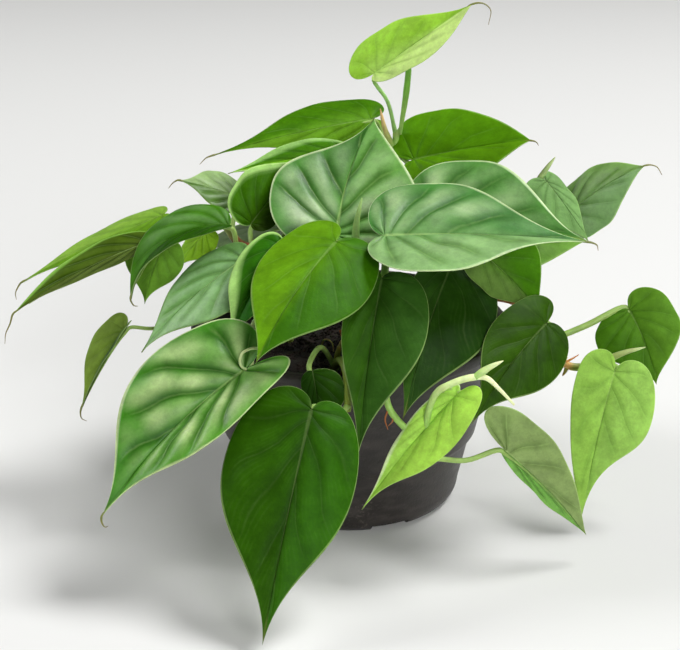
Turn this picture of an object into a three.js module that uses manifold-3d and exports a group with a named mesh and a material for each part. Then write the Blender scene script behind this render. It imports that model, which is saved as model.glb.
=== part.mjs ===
// Potted heartleaf philodendron: a young climbing aroid in a 12 cm nursery pot.
// Millimetres, +Z up. The origin is the centre of the pot's underside, on the surface that the
// pot stands on. The plant is seen from -Y, with +X to the right.

import * as THREE from 'three';
import { mergeVertices } from 'three/addons/utils/BufferGeometryUtils.js';
import Module from 'manifold-3d';

// Pot
const POT_TOP_RADIUS = 60;
const POT_BASE_RADIUS = 41;
const POT_HEIGHT = 70;
const WALL = 1.6;
const RIM_LIP = 1.4;
const RIM_DEPTH = 5;
const STEP_HEIGHT = 27;
const STEP_LOW = STEP_HEIGHT - 1.5;
const STEP_HIGH = STEP_HEIGHT + 0.5;
const STEP_IN = 1.6;
const BASE_CORNER = 7;
const CORNER_SQUASH = 0.75;
const CORNER_STEPS = 4;
const FLOOR_HEIGHT = 3.5;
const FOOT_RING_RADIUS = 31;
const CENTRE_DISC_RADIUS = 15;
const FOOT_NOTCHES = 4;
const FIRST_NOTCH = -68;
const NOTCH_WIDTH = 15;
const NOTCH_HEIGHT = 2.8;
const NOTCH_REACH = 30;
const DRAIN_HOLES = 6;
const DRAIN_RADIUS = 3;
const DRAIN_CIRCLE = 24;
const DRAIN_SIDES = 10;
const POT_SIDES = 36;

// Soil
const SOIL_TOP = 61;
const SOIL_GAP = 0.3;
const SOIL_BUMP = 1.2;
const SOIL_SIDES = 24;
const SOIL_RINGS = 4;

// Stems and leaves
const SEAT_GAP = 0.3;
const STEM_SIDES = 6;
const STEM_STEPS = 3;
const PETIOLE_SIDES = 5;
const PETIOLE_STEPS = 6;
const PETIOLE_RADIUS = 0.95;
const SPIKE_TIP_RADIUS = 0.35;
const ROLLED_SIDES = 8;
const BLADE_THICKNESS = 0.7;
const RIBS = 10;
const BANDS = 2;
const RIB_FOOT_POWER = 1.5;
const OUTLINE_TURN = 0.42;
const LOBE_REACH = 0.68;
const SHOULDER = 0.42;
const RIB_POINTS = 24;
const RIPPLES = 2.5;

const DEGREE = Math.PI / 180;

const wasm = await Module();
wasm.setup();

// Solids: a closed geometry to a manifold and back

function toSolid(geometry) {
  const bare = geometry.clone();
  bare.deleteAttribute('normal');
  bare.deleteAttribute('uv');
  const merged = mergeVertices(bare, 1e-5);
  const mesh = new wasm.Mesh({
    numProp: 3,
    vertProperties: new Float32Array(merged.attributes.position.array),
    triVerts: new Uint32Array(merged.index.array),
  });
  return new wasm.Manifold(mesh);
}

function toGeometry(solid) {
  const mesh = solid.getMesh();
  const geometry = new THREE.BufferGeometry();
  const points = new THREE.BufferAttribute(new Float32Array(mesh.vertProperties), 3);
  geometry.setAttribute('position', points);
  geometry.setIndex(new THREE.BufferAttribute(new Uint32Array(mesh.triVerts), 1));
  geometry.computeVertexNormals();
  return geometry;
}

function largestPiece(solid) {
  return solid.decompose().reduce((a, b) => (a.volume() > b.volume() ? a : b));
}

function finish(colour, roughness) {
  const side = THREE.DoubleSide;
  return new THREE.MeshStandardMaterial({ color: colour, roughness, metalness: 0, side });
}

function circleShape(radius, sides) {
  const shape = new THREE.Shape();
  for (let i = 0; i < sides; i++) {
    const turn = (i / sides) * 2 * Math.PI;
    const x = radius * Math.cos(turn);
    const y = radius * Math.sin(turn);
    if (i === 0) shape.moveTo(x, y);
    else shape.lineTo(x, y);
  }
  shape.closePath();
  return shape;
}

// A round tube along a list of points
function tube(points, radius, sides, steps) {
  const corners = points.map((point) => new THREE.Vector3(...point));
  const path = new THREE.CatmullRomCurve3(corners, false, 'centripetal');
  const section = circleShape(radius, sides);
  return new THREE.ExtrudeGeometry(section, { steps, bevelEnabled: false, extrudePath: path });
}

// A cone that tapers along a straight line, for spears, sheaths and root bits
function spike(from, to, radius) {
  const start = new THREE.Vector3(...from);
  const end = new THREE.Vector3(...to);
  const length = start.distanceTo(end);
  const cone = new THREE.CylinderGeometry(SPIKE_TIP_RADIUS, radius, length, STEM_SIDES, 1);
  cone.translate(0, length / 2, 0);
  return stand(cone, start, end);
}

// Turns a shape that rises along Y from the origin so that it rises from start towards end
function stand(geometry, start, end) {
  const up = new THREE.Vector3(0, 1, 0);
  const ahead = end.clone().sub(start).normalize();
  geometry.applyQuaternion(new THREE.Quaternion().setFromUnitVectors(up, ahead));
  geometry.translate(start.x, start.y, start.z);
  return geometry;
}

function toProfile(pairs) {
  return pairs.map(([radius, height]) => new THREE.Vector2(radius, height));
}

// A solid turned about Z from a profile of [radius, height] pairs
function turnedSolid(pairs, sides) {
  const turned = new THREE.LatheGeometry(toProfile(pairs), sides);
  turned.rotateX(90 * DEGREE);
  return toSolid(turned);
}

// Pot: a turned wall with a rim, a step and a rounded corner, cut by notches and drain holes

function wallRadius(z) {
  const slope = (POT_TOP_RADIUS - RIM_LIP - POT_BASE_RADIUS - STEP_IN) / POT_HEIGHT;
  const plain = POT_BASE_RADIUS + slope * z;
  return z > STEP_HEIGHT ? plain + STEP_IN : plain;
}

function potSolid() {
  const outer = [];
  for (let i = 0; i <= CORNER_STEPS; i++) {
    const turn = (i / CORNER_STEPS) * 90 * DEGREE;
    const inset = BASE_CORNER * CORNER_SQUASH * (1 - Math.sin(turn));
    outer.push([wallRadius(BASE_CORNER) - inset, BASE_CORNER * (1 - Math.cos(turn))]);
  }
  outer.push([wallRadius(STEP_LOW), STEP_LOW]);
  outer.push([wallRadius(STEP_HIGH), STEP_HIGH]);
  outer.push([wallRadius(POT_HEIGHT - RIM_DEPTH), POT_HEIGHT - RIM_DEPTH]);
  outer.push([POT_TOP_RADIUS - 0.4, POT_HEIGHT - RIM_DEPTH + 0.6]);
  outer.push([POT_TOP_RADIUS, POT_HEIGHT - 0.8]);
  outer.push([POT_TOP_RADIUS - 0.6, POT_HEIGHT]);
  const inner = [
    [wallRadius(POT_HEIGHT) - WALL, POT_HEIGHT],
    [wallRadius(STEP_HIGH) - WALL, STEP_HIGH],
    [wallRadius(STEP_LOW) - WALL, STEP_LOW],
    [wallRadius(BASE_CORNER) - WALL, BASE_CORNER + 2],
    [wallRadius(BASE_CORNER) - BASE_CORNER, FLOOR_HEIGHT + WALL],
    [0, FLOOR_HEIGHT + WALL],
  ];
  let solid = turnedSolid([[0, 0], ...outer, ...inner], POT_SIDES);

  // The underside is hollow between the foot ring and the disc in the middle, which both touch
  // the surface
  const recess = [
    [CENTRE_DISC_RADIUS, -1],
    [FOOT_RING_RADIUS, -1],
    [FOOT_RING_RADIUS, FLOOR_HEIGHT - 0.5],
    [CENTRE_DISC_RADIUS, FLOOR_HEIGHT - 0.5],
    [CENTRE_DISC_RADIUS, -1],
  ];
  solid = solid.subtract(turnedSolid(recess, POT_SIDES));
  for (let i = 0; i < FOOT_NOTCHES; i++) {
    const turn = (FIRST_NOTCH + (i * 360) / FOOT_NOTCHES) * DEGREE;
    const notch = new THREE.BoxGeometry(NOTCH_REACH, NOTCH_WIDTH, 2 * NOTCH_HEIGHT);
    notch.translate(FOOT_RING_RADIUS + NOTCH_REACH / 2 - 3, 0, 0);
    notch.rotateZ(turn);
    solid = solid.subtract(toSolid(notch));
  }
  for (let i = 0; i < DRAIN_HOLES; i++) {
    const turn = (i / DRAIN_HOLES) * 2 * Math.PI;
    const hole = new THREE.CylinderGeometry(DRAIN_RADIUS, DRAIN_RADIUS, 20, DRAIN_SIDES);
    hole.rotateX(90 * DEGREE);
    hole.translate(DRAIN_CIRCLE * Math.cos(turn), DRAIN_CIRCLE * Math.sin(turn), 0);
    solid = solid.subtract(toSolid(hole));
  }
  return solid;
}

// Midrib: starts at the base and turns steadily down by arch and aside by sway

function ribFrame(leaf, s) {
  const bearing = (leaf.bearing + leaf.sway * s) * DEGREE;
  const dip = (leaf.dip + leaf.arch * s) * DEGREE;
  const ahead = new THREE.Vector3(
    Math.cos(bearing) * Math.cos(dip), Math.sin(bearing) * Math.cos(dip), -Math.sin(dip));
  const across = new THREE.Vector3(-Math.sin(bearing), Math.cos(bearing), 0);
  const up = new THREE.Vector3().crossVectors(ahead, across);
  return { ahead, across, up };
}

function ribPoint(leaf, s) {
  const point = new THREE.Vector3(...leaf.base);
  if (s <= 0) return point.addScaledVector(ribFrame(leaf, 0).ahead, s * leaf.length);
  for (let i = 0; i < RIB_POINTS; i++) {
    const middle = ((i + 0.5) / RIB_POINTS) * s;
    point.addScaledVector(ribFrame(leaf, middle).ahead, (leaf.length * s) / RIB_POINTS);
  }
  return point;
}

// Outline of half a heart: back round the lobe, out to the widest place, in to the drip tip

function bezier(a, b, c, d, t) {
  const r = 1 - t;
  return r * r * r * a + 3 * r * r * t * b + 3 * r * t * t * c + t * t * t * d;
}

function outline(half, p) {
  const back = half.lobe / LOBE_REACH;
  if (p < OUTLINE_TURN) {
    const t = p / OUTLINE_TURN;
    return [bezier(0, -back, -0.9 * back, half.widest, t), bezier(0, 0.08, 1.02, 1, t)];
  }
  const t = (p - OUTLINE_TURN) / (1 - OUTLINE_TURN);
  const shoulder = half.widest + SHOULDER * (1 - half.widest);
  return [bezier(half.widest, shoulder, 1 - half.taper, 1, t), bezier(1, 1, 0.1, 0, t)];
}

// One half's cross-section: it leaves the midrib at an angle and curls back towards the margin

function crossSection(half, share) {
  const curl = half.curl * DEGREE;
  const start = half.rise * DEGREE - curl / 2;
  const reach = half.width * share;
  if (Math.abs(curl) < 0.01) return [reach * Math.cos(start), reach * Math.sin(start)];
  const length = curl / 2 / Math.sin(curl / 2);
  const turned = start + curl * share;
  const scale = (half.width * length) / curl;
  return [scale * (Math.sin(turned) - Math.sin(start)), scale * (Math.cos(start) - Math.cos(turned))];
}

function bladePoint(leaf, side, u, v) {
  const half = side > 0 ? leaf.left : leaf.right;
  const s = Math.max(u, 0);
  const frame = ribFrame(leaf, s);
  const point = ribPoint(leaf, u);
  const [out, rise] = crossSection(half, v);
  const phase = u * RIPPLES + (side > 0 ? 0.2 : 0.65);
  const ripple = leaf.wave * v * v * Math.sin(phase * 2 * Math.PI);
  const droop = u < 0 ? leaf.ears * u * u * leaf.length : 0;
  point.addScaledVector(frame.across, side * out);
  point.addScaledVector(frame.up, rise + ripple - droop);
  return point;
}

// A blade is one grid of triangles, thickened to both sides

function bladeSolid(leaf) {
  const points = [bladePoint(leaf, 1, 0, 0)];
  const triangles = [];
  const margins = { 1: [0], '-1': [0] };
  const spine = [0];
  for (let i = 1; i < RIBS; i++) {
    points.push(bladePoint(leaf, 1, (i / RIBS) ** RIB_FOOT_POWER, 0));
    spine.push(points.length - 1);
  }
  points.push(bladePoint(leaf, 1, 1, 0));
  const tip = points.length - 1;
  for (const side of [1, -1]) {
    let last = null;
    for (let i = 1; i < RIBS; i++) {
      const p = i / RIBS;
      const foot = p ** RIB_FOOT_POWER;
      const [u, v] = outline(side > 0 ? leaf.left : leaf.right, p);
      const row = [spine[i]];
      for (let j = 1; j <= BANDS; j++) {
        const k = j / BANDS;
        points.push(bladePoint(leaf, side, foot + (u - foot) * k, v * k));
        row.push(points.length - 1);
      }
      for (let j = 0; j < BANDS; j++) {
        if (last === null) {
          addTriangle(triangles, side, 0, row[j], row[j + 1]);
        } else {
          addTriangle(triangles, side, last[j], row[j], row[j + 1]);
          addTriangle(triangles, side, last[j], row[j + 1], last[j + 1]);
        }
      }
      margins[side].push(row[BANDS]);
      last = row;
    }
    for (let j = 0; j < BANDS; j++) addTriangle(triangles, side, last[j], tip, last[j + 1]);
    margins[side].push(tip);
  }
  const edge = [...margins[-1], ...margins[1].slice(1, -1).reverse()];
  return thicken(points, triangles, edge);
}

function addTriangle(list, side, a, b, c) {
  list.push(side > 0 ? [a, b, c] : [a, c, b]);
}

function thicken(points, triangles, edge) {
  const normals = points.map(() => new THREE.Vector3());
  for (const [a, b, c] of triangles) {
    const ab = points[b].clone().sub(points[a]);
    const ac = points[c].clone().sub(points[a]);
    const normal = ab.cross(ac).normalize();
    for (const i of [a, b, c]) normals[i].add(normal);
  }
  const count = points.length;
  const place = new Float32Array(count * 6);
  for (let i = 0; i < count; i++) {
    const push = normals[i].normalize().multiplyScalar(BLADE_THICKNESS / 2);
    points[i].clone().add(push).toArray(place, i * 3);
    points[i].clone().sub(push).toArray(place, (count + i) * 3);
  }
  const faces = [];
  for (const [a, b, c] of triangles) {
    faces.push(a, b, c);
    faces.push(count + a, count + c, count + b);
  }
  for (let i = 0; i < edge.length; i++) {
    const a = edge[i];
    const b = edge[(i + 1) % edge.length];
    faces.push(a, count + a, b);
    faces.push(b, count + a, count + b);
  }
  const mesh = new wasm.Mesh({ numProp: 3, vertProperties: place, triVerts: new Uint32Array(faces) });
  return new wasm.Manifold(mesh);
}

// Leaves. Each blade starts at base, where its stalk joins it, and points along bearing (degrees
// from +X towards +Y) and dip (degrees below level). Each half has its width in millimetres, the
// angle that it rises to, the angle that its margin curls, how far its lobe reaches back, where
// it is widest and how hollow its tip is, these three as shares of the length. The stalk runs
// from its stem, by the points in via, to the base.

function half(width, rise, curl, lobe = 0.15, widest = 0.3, taper = 0.3) {
  return { width, rise, curl, lobe, widest, taper };
}

const PLAIN_LEAF = {
  sway: 0,
  wave: 0.25,
  ears: 0.5,
  petiole: PETIOLE_RADIUS,
};

const LEAVES = [
  { name: 'leaf_top', stem: 'stem_back', from: [18, 42, 132], via: [[14.6, 33.5, 146]],
    base: [9.4, 24, 158.8], bearing: 353, dip: -38, arch: 3, length: 44, petiole: 0.75,
    left: half(15, 48, -30, 0.2, 0.15, 0.3), right: half(11, -33, -20, 0.06, 0.55, 0.04),
    colour: 0x7dbe3c },
  { name: 'leaf_upper_right', stem: 'stem_back', from: [18, 42, 124], via: [[21, 40, 122]],
    base: [25, 34, 123], bearing: 350, dip: -17, arch: 10, length: 46,
    left: half(20, 46, -30, 0.17, 0.2, 0.05), right: half(15, -37, -25, 0.15, 0.45, 0.1),
    colour: 0x4a8600 },
  { name: 'leaf_upper_left', stem: 'stem_back', from: [17, 40, 118], via: [[13, 48, 130]],
    base: [9, 48, 136], bearing: 200, dip: 4, arch: 8, length: 66,
    left: half(8, -80, -20, 0.08, 0.24, 0.42), right: half(17, 18, -30, 0.12, 0.2, 0.45),
    colour: 0x4b8c00 },
  { name: 'leaf_upper_left_low', stem: 'stem_back', from: [16, 37, 100], via: [[8, 37, 115]],
    base: [-2, 33, 125.5], bearing: 192, dip: -1, arch: 15, length: 46,
    left: half(12, -35, -20, 0.08), right: half(7, 58, -20, 0.08), colour: 0x4f9010 },
  { name: 'leaf_back_upright', stem: 'stem_centre', from: [2, -8, 92], via: [[-4, -12, 97]],
    base: [-5, -4, 104], bearing: 81, dip: -48, arch: 10, sway: -26, length: 53,
    left: half(27, 22, -25, 0.15, 0.25, 0.45), right: half(30, -6, -25, 0.15, 0.25, 0.1),
    colour: 0x6ea06e },
  { name: 'leaf_centre', stem: 'stem_centre', from: [2, -7, 84], via: [[0, -20, 98]],
    base: [-5, -31, 110], bearing: 240, dip: 15, arch: 25, length: 60,
    left: half(21.5, -30, -25, 0.15, 0.3, 0.2), right: half(19.5, 5, -25, 0.2, 0.3, 0.2),
    colour: 0x5a9600 },
  { name: 'leaf_right_front', stem: 'stem_centre', from: [3, -8, 86], via: [[8, -19, 99]],
    base: [12, -27, 111], bearing: 357, dip: -4, arch: 10, length: 73,
    left: half(28, 25, -25, 0.09, 0.24, 0.42), right: half(24, -15, -15, 0.09, 0.24, 0.42),
    colour: 0x7cb46e },
  { name: 'leaf_right_behind', stem: 'stem_right', from: [33, 7, 82], via: [[28, 6, 98]],
    base: [28, 0, 108], bearing: 346, dip: -5, arch: 15, length: 60,
    left: half(26, 48, -25, 0.15, 0.28, 0.3), right: half(17, -70, -15, 0.1, 0.55, 0.05),
    colour: 0x5a965a },
  { name: 'leaf_far_right_high', stem: 'stem_right', from: [70, 9, 116], via: [[77, 14, 110]],
    base: [83, 16, 106], bearing: 339, dip: -48, arch: 20, length: 36,
    left: half(15, 31, -25, 0.15, 0.3, 0.15), right: half(14, -60, -25, 0.15, 0.3, 0.15),
    colour: 0x5a8255 },
  { name: 'leaf_right_folded', stem: 'stem_right', from: [68, 9, 116], via: [[71, 8, 121]],
    base: [73, 6, 122], bearing: 322, dip: 41, arch: 10, length: 28, left: half(6, 20, -15),
    right: half(13, -32, -20), colour: 0x78b45f },
  { name: 'leaf_right_hanging', stem: 'stem_right_low', from: [52, -15.8, 83.8],
    via: [[53, -17, 91], [50, -20, 100]], base: [46, -23, 104], bearing: 5, dip: 37, arch: 20,
    length: 36, left: half(15, 88, -25), right: half(10, -75, -20), colour: 0x468c0a },
  { name: 'leaf_right_dark', stem: 'stem_right_low', from: [66, -16, 77.5], via: [[70, -23, 77]],
    base: [70.5, -30, 79], bearing: 231, dip: 16, arch: 22, length: 52,
    left: half(15.5, -45, -25, 0.08), right: half(14, 40, -25, 0.2), colour: 0x28550f },
  { name: 'leaf_far_right', stem: 'stem_right_low', from: [75, -15, 67], via: [[88, -13, 72]],
    base: [104, -10, 77], bearing: 318, dip: 50, arch: 25, length: 30, petiole: 1.2,
    left: half(15, 55, -25, 0.2, 0.3, 0.25), right: half(17, -50, -25, 0.1, 0.3, 0.25),
    colour: 0x326e14 },
  { name: 'leaf_right_low', stem: 'stem_right_low', from: [91, -18, 58.5], via: [[94, -21, 60]],
    base: [97, -26, 59], bearing: 232, dip: 63, arch: 15, length: 55,
    left: half(18, -37, -25, 0.12, 0.28, 0.5), right: half(14, 48, -25, 0.12, 0.08, 0.05),
    colour: 0x64aa3c },
  { name: 'leaf_right_turned', stem: 'stem_front_right', from: [28, -66, 43], via: [[40, -64, 41]],
    base: [54, -60, 43], bearing: 356, dip: 39, arch: 16, length: 44, ears: 0,
    left: half(5, -80, -20, 0.03, 0.5, 0.1), right: half(14.5, 92, -20, 0.32, 0.04, 0.15),
    colour: 0x5f874b },
  { name: 'leaf_half_rolled', stem: 'stem_front_right', from: [31, -67, 69],
    via: [[33, -64.5, 68.5]], base: [36, -65, 66], bearing: 199, dip: 43, arch: 10, length: 51,
    left: half(12, -34, -60, 0.16), right: half(6, 50, -80, 0.08), colour: 0x96d73c },
  { name: 'leaf_centre_dark', stem: 'stem_front_right', from: [17, -40, 62], via: [[14, -32, 88]],
    base: [11, -36, 98], bearing: 258, dip: 35, arch: 30, length: 66, left: half(19, -1, -25, 0.06),
    right: half(11, 25, -25, 0.06), colour: 0x2d5f19 },
  { name: 'leaf_centre_shaded', stem: 'stem_right', from: [26, 6, 68], via: [[33, -4, 90]],
    base: [38, -15, 99], bearing: 251, dip: 18, arch: 26, length: 74,
    left: half(23, -35, -25, 0.06, 0.3, 0.2), right: half(12, -4, -20, 0.08, 0.3, 0.2),
    colour: 0x1e370f },
  { name: 'leaf_rim_small', stem: 'stem_front', from: [-5, -36, 64],
    via: [[-10, -46, 76], [-13, -57, 77]], base: [-13, -63, 74], bearing: 320, dip: 76, arch: 8,
    length: 25, left: half(10, 50, -15, 0.03), right: half(5, -50, -15, 0.03), colour: 0x23410a },
  { name: 'leaf_front', stem: 'stem_front', from: [-1, -65, 62], via: [[-5, -71, 61]],
    base: [-13, -77, 66], bearing: 252, dip: 45, arch: 12, length: 79,
    left: half(20, -26, -20, 0.07), right: half(25, 6, -20, 0.1), colour: 0x2d6405 },
  { name: 'leaf_left_front', stem: 'stem_left', from: [-24, 2, 68],
    via: [[-30, -28, 84], [-35, -50, 82]], base: [-36, -62, 74], bearing: 204, dip: 28, arch: 20,
    sway: 10, length: 69, left: half(17.5, -12, -25, 0.22), right: half(25, 40, -40, 0.18),
    colour: 0x5f9650 },
  { name: 'leaf_left_mid', stem: 'stem_left', from: [-31, -1, 84], via: [[-34, -12, 96]],
    base: [-38, -22, 101], bearing: 206, dip: 26, arch: 20, length: 50,
    left: half(17, -18, -20, 0.05), right: half(14, 15, -20, 0.1), colour: 0x649b69 },
  { name: 'leaf_left_inner', stem: 'stem_centre', from: [1, -5, 72], via: [[-14, -16, 94]],
    base: [-24, -28, 108], bearing: 232, dip: 34, arch: 20, length: 42,
    left: half(12, -7, -20, 0.08), right: half(11, 20, -60, 0.08), colour: 0x326e00 },
  { name: 'leaf_left_hood', stem: 'stem_left', from: [-36, -2, 98], via: [[-37, 2, 101]],
    base: [-37, 8, 105], bearing: 32, dip: -47, arch: 10, length: 35, left: half(14, 60, -60, 0.1),
    right: half(8, -56, -30, 0.05), colour: 0x468200 },
  { name: 'leaf_left_arched', stem: 'stem_left', from: [-32, -1, 90], via: [[-41, -8, 100]],
    base: [-44, -11, 110], bearing: 192, dip: -10, arch: 90, length: 50,
    left: half(5.5, -15, -70, 0.03, 0.3, 0.2), right: half(18, 10, -40, 0.03, 0.3, 0.2),
    colour: 0x6e9b5f },
  { name: 'leaf_left_under', stem: 'stem_left', from: [-50, -1, 109.8], via: [[-58, 2, 104]],
    base: [-70, 7.5, 98], bearing: 215, dip: 60, arch: 15, length: 25, left: half(10, -50, -20, 0.1),
    right: half(14, 35, -20, 0.2), colour: 0x78aa5a },
  { name: 'leaf_far_left_back', stem: 'stem_left', from: [-64, 6, 106], via: [[-67, 9, 107]],
    base: [-71, 13, 107], bearing: 191, dip: 20, arch: 7, length: 59, left: half(9, -15, -20, 0.06),
    right: half(11, 6, -25, 0.06), colour: 0x5fa01e },
  { name: 'leaf_far_left_front', stem: 'stem_left', from: [-62, 5, 107], via: [[-68, 1, 105]],
    base: [-75, -3, 101], bearing: 194, dip: 16, arch: 18, length: 56,
    left: half(3.5, -60, -20, 0.05), right: half(9, 30, -25, 0.05, 0.3, 0.12), colour: 0x5f8232 },
  { name: 'leaf_left_pale', stem: 'stem_left', from: [-58, 4, 110], via: [[-56, 18, 103]],
    base: [-56, 30, 95], bearing: 212, dip: 37, arch: 15, length: 18, left: half(8, -35, -20),
    right: half(10, -6, -20), colour: 0xa0c864 },
  { name: 'leaf_left_silver', stem: 'stem_left', from: [-41, -4, 101],
    via: [[-44, 6, 101], [-44, 18, 105]], base: [-42, 28, 109], bearing: 196, dip: -26, arch: 10,
    length: 26, left: half(9, -40, -20, 0.08), right: half(14, 20, -20, 0.08), colour: 0x96b487 },
  { name: 'leaf_left_small', stem: 'stem_left', from: [-27, 0, 76],
    via: [[-52, -12, 76], [-72, -19, 73]], base: [-82.5, -20, 73], bearing: 207, dip: 49, arch: 15,
    length: 33, petiole: 0.7, left: half(11, 26, -15), right: half(14, 8, -15), colour: 0x507328 },
  { name: 'leaf_back_left', stem: 'stem_left', from: [-24, 1, 70], via: [[-26, 14, 90]],
    base: [-26, 28, 98], bearing: 120, dip: 22, arch: 30, length: 58, left: half(21, 8, -25),
    right: half(21, 0, -25), colour: 0x4b8c14 },
  { name: 'leaf_back_right', stem: 'stem_right', from: [29, 6, 74], via: [[31, 16, 86]],
    base: [32, 28, 92], bearing: 58, dip: 24, arch: 30, length: 56, left: half(20, 6, -25),
    right: half(20, -4, -25), colour: 0x3c7d14 },
  { name: 'leaf_back_low', stem: 'stem_back', from: [13, 28, 66], via: [[6, 42, 82]],
    base: [2, 56, 86], bearing: 96, dip: 38, arch: 25, length: 52, left: half(19, 10, -25),
    right: half(19, 4, -25), colour: 0x32690f },
  { name: 'leaf_back_high', stem: 'stem_back', from: [17.5, 40.5, 112], via: [[19, 50, 111]],
    base: [16, 60, 107], bearing: 78, dip: 28, arch: 30, length: 54, left: half(19, 2, -25),
    right: half(20, 10, -25), colour: 0x4b8c14 },
  { name: 'leaf_back_far_right', stem: 'stem_right', from: [50, 8.5, 98.5], via: [[53, 20, 101]],
    base: [54, 32, 99], bearing: 62, dip: 20, arch: 35, length: 50, left: half(18, 6, -25),
    right: half(18, 2, -25), colour: 0x3c7d14 },
  { name: 'leaf_back_inner', stem: 'stem_centre', from: [1.5, -6.5, 84],
    via: [[-6, 10, 98], [-11, 28, 108]], base: [-14, 40, 112], bearing: 125, dip: 15, arch: 30,
    length: 48, left: half(17, 4, -25), right: half(17, 8, -25), colour: 0x46870f },
];

// Stems. Each path starts in the soil. A spike is a spear, a dry sheath or an aerial root.

const STEMS = [
  { name: 'stem_back', radius: 1.6, colour: 0x5a8c32,
    path: [[12, 24, 38], [13, 28, 61], [16, 38, 100], [18.5, 42, 133]],
    spikes: [[[17, 41, 126], [12, 39, 142], 1.3]] },
  { name: 'stem_centre', radius: 1.7, colour: 0x64963c,
    path: [[1, -4, 38], [1, -5, 61], [2, -8, 88], [2, -9, 103]],
    spikes: [[[2, -9, 101], [4.4, -6, 119], 1.5]] },
  { name: 'stem_left', radius: 1.6, colour: 0x8c5a28,
    path: [[-22, 3, 38], [-23, 2, 61], [-32, -1, 90], [-36, -2, 98], [-41, -4, 101], [-46, -4, 108],
      [-54, 2, 111], [-64, 6, 106]],
    spikes: [[[-40, -4, 101], [-41, -5, 96], 0.8]] },
  { name: 'stem_right', radius: 1.6, colour: 0x64963c,
    path: [[24, 6, 38], [25, 6, 61], [38, 8, 90], [58, 9, 105], [70, 9, 119]],
    spikes: [[[69, 9, 117], [76, 7, 131], 1.5]] },
  { name: 'stem_right_low', radius: 1.5, colour: 0x8c8232,
    path: [[34, -10, 38], [36, -11, 61], [46, -14, 82], [54, -16, 84], [63, -16, 81], [72, -15, 70],
      [81, -18, 58], [90, -18, 58], [95, -19, 60]],
    spikes: [[[94, -19, 60], [109, -20, 66], 1.3], [[81, -18, 58], [79, -19, 54], 0.9]] },
  { name: 'stem_front_right', radius: 1.2, colour: 0x78b43c,
    path: [[17, -36, 40], [17, -40, 61], [13, -52, 72], [12, -60, 74], [13, -65.5, 62], [22, -67, 51],
      [27, -67, 45], [26, -68, 58], [29, -68, 68], [34, -67, 71], [41, -65, 72.5], [46, -64, 72],
      [51, -64, 67.5], [56, -64, 62]],
    spikes: [[[42, -65, 72.5], [52, -61, 77], 1.4]] },
  { name: 'stem_front', radius: 1.5, colour: 0x8ca03c,
    path: [[-6, -30, 40], [-6, -33, 61], [-4, -46, 71], [-2, -58, 74], [-1, -63, 71], [-1, -65, 60]],
    spikes: [[[-5, -42, 68], [-2, -50, 82], 1.2]] },
];

function stemSolid(stem, extra) {
  const steps = stem.path.length * STEM_STEPS;
  let solid = toSolid(tube(stem.path, stem.radius + extra, STEM_SIDES, steps));
  for (const [from, to, radius] of stem.spikes) {
    solid = solid.add(toSolid(spike(from, to, radius + extra)));
  }
  return solid;
}

function leafSolid(leaf) {
  const frame = ribFrame(leaf, 0);
  const base = new THREE.Vector3(...leaf.base);
  const under = base.clone().addScaledVector(frame.ahead, -1.5).addScaledVector(frame.up, -1.2);
  const seat = base.clone().addScaledVector(frame.ahead, 1.6).addScaledVector(frame.up, -0.5);
  const points = [leaf.from, ...leaf.via, under.toArray(), seat.toArray()];
  const stalk = toSolid(tube(points, leaf.petiole, PETIOLE_SIDES, PETIOLE_STEPS));
  return bladeSolid(leaf).add(stalk);
}

// The youngest leaf is still rolled up: a slim spindle on the back stem
const ROLLED_LEAF = {
  name: 'leaf_top_rolled',
  stem: 'stem_back',
  from: [19.8, 41.5, 131.5],
  to: [23, 34, 164],
  radius: 1.3,
  colour: 0x6eaa3c,
};

function rolledLeafSolid(leaf) {
  const start = new THREE.Vector3(...leaf.from);
  const end = new THREE.Vector3(...leaf.to);
  const length = start.distanceTo(end);
  const widths = [[0, 0], [0.6, 0], [0.75, 0.25], [1, 0.55], [0.9, 0.8], [0.25, 1], [0, 1]];
  const profile = widths.map(([share, along]) => [share * leaf.radius, along * length]);
  const spindle = new THREE.LatheGeometry(toProfile(profile), ROLLED_SIDES);
  return toSolid(stand(spindle, start, end));
}

// Soil: a disc with a gently uneven top, and a plain hole for each stem

function soilRadius(z) {
  return wallRadius(z) - WALL - SOIL_GAP;
}

function soilSolid() {
  const under = FLOOR_HEIGHT + WALL + SOIL_GAP;
  const topRadius = soilRadius(SOIL_TOP) - 0.5;
  const profile = [
    [0, under],
    [wallRadius(BASE_CORNER) - BASE_CORNER - 1, under],
    [soilRadius(BASE_CORNER) - 0.6, BASE_CORNER + 3],
    [soilRadius(STEP_LOW) - 0.3, STEP_LOW],
    [soilRadius(STEP_LOW) - 0.3, STEP_HIGH + 0.5],
    [topRadius, SOIL_TOP - 1.5],
  ];
  for (let i = 1; i < SOIL_RINGS; i++) {
    profile.push([(topRadius * (SOIL_RINGS - i)) / SOIL_RINGS, SOIL_TOP]);
  }
  profile.push([0, SOIL_TOP]);
  const turned = new THREE.LatheGeometry(toProfile(profile), SOIL_SIDES);
  turned.rotateX(90 * DEGREE);
  const points = turned.attributes.position;
  for (let i = 0; i < points.count; i++) {
    const x = points.getX(i);
    const y = points.getY(i);
    if (points.getZ(i) > SOIL_TOP - 1) {
      points.setZ(i, SOIL_TOP + SOIL_BUMP * Math.sin(x / 9 + 1) * Math.cos(y / 8));
    }
  }
  return toSolid(turned);
}

// Assembly

const plant = new THREE.Group();

function place(name, solid, colour, roughness) {
  const mesh = new THREE.Mesh(toGeometry(solid), finish(colour, roughness));
  mesh.name = name;
  plant.add(mesh);
}

const fatStems = new Map(STEMS.map((stem) => [stem.name, stemSolid(stem, SEAT_GAP)]));
let soil = soilSolid();
for (const stem of fatStems.values()) soil = soil.subtract(stem);

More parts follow.
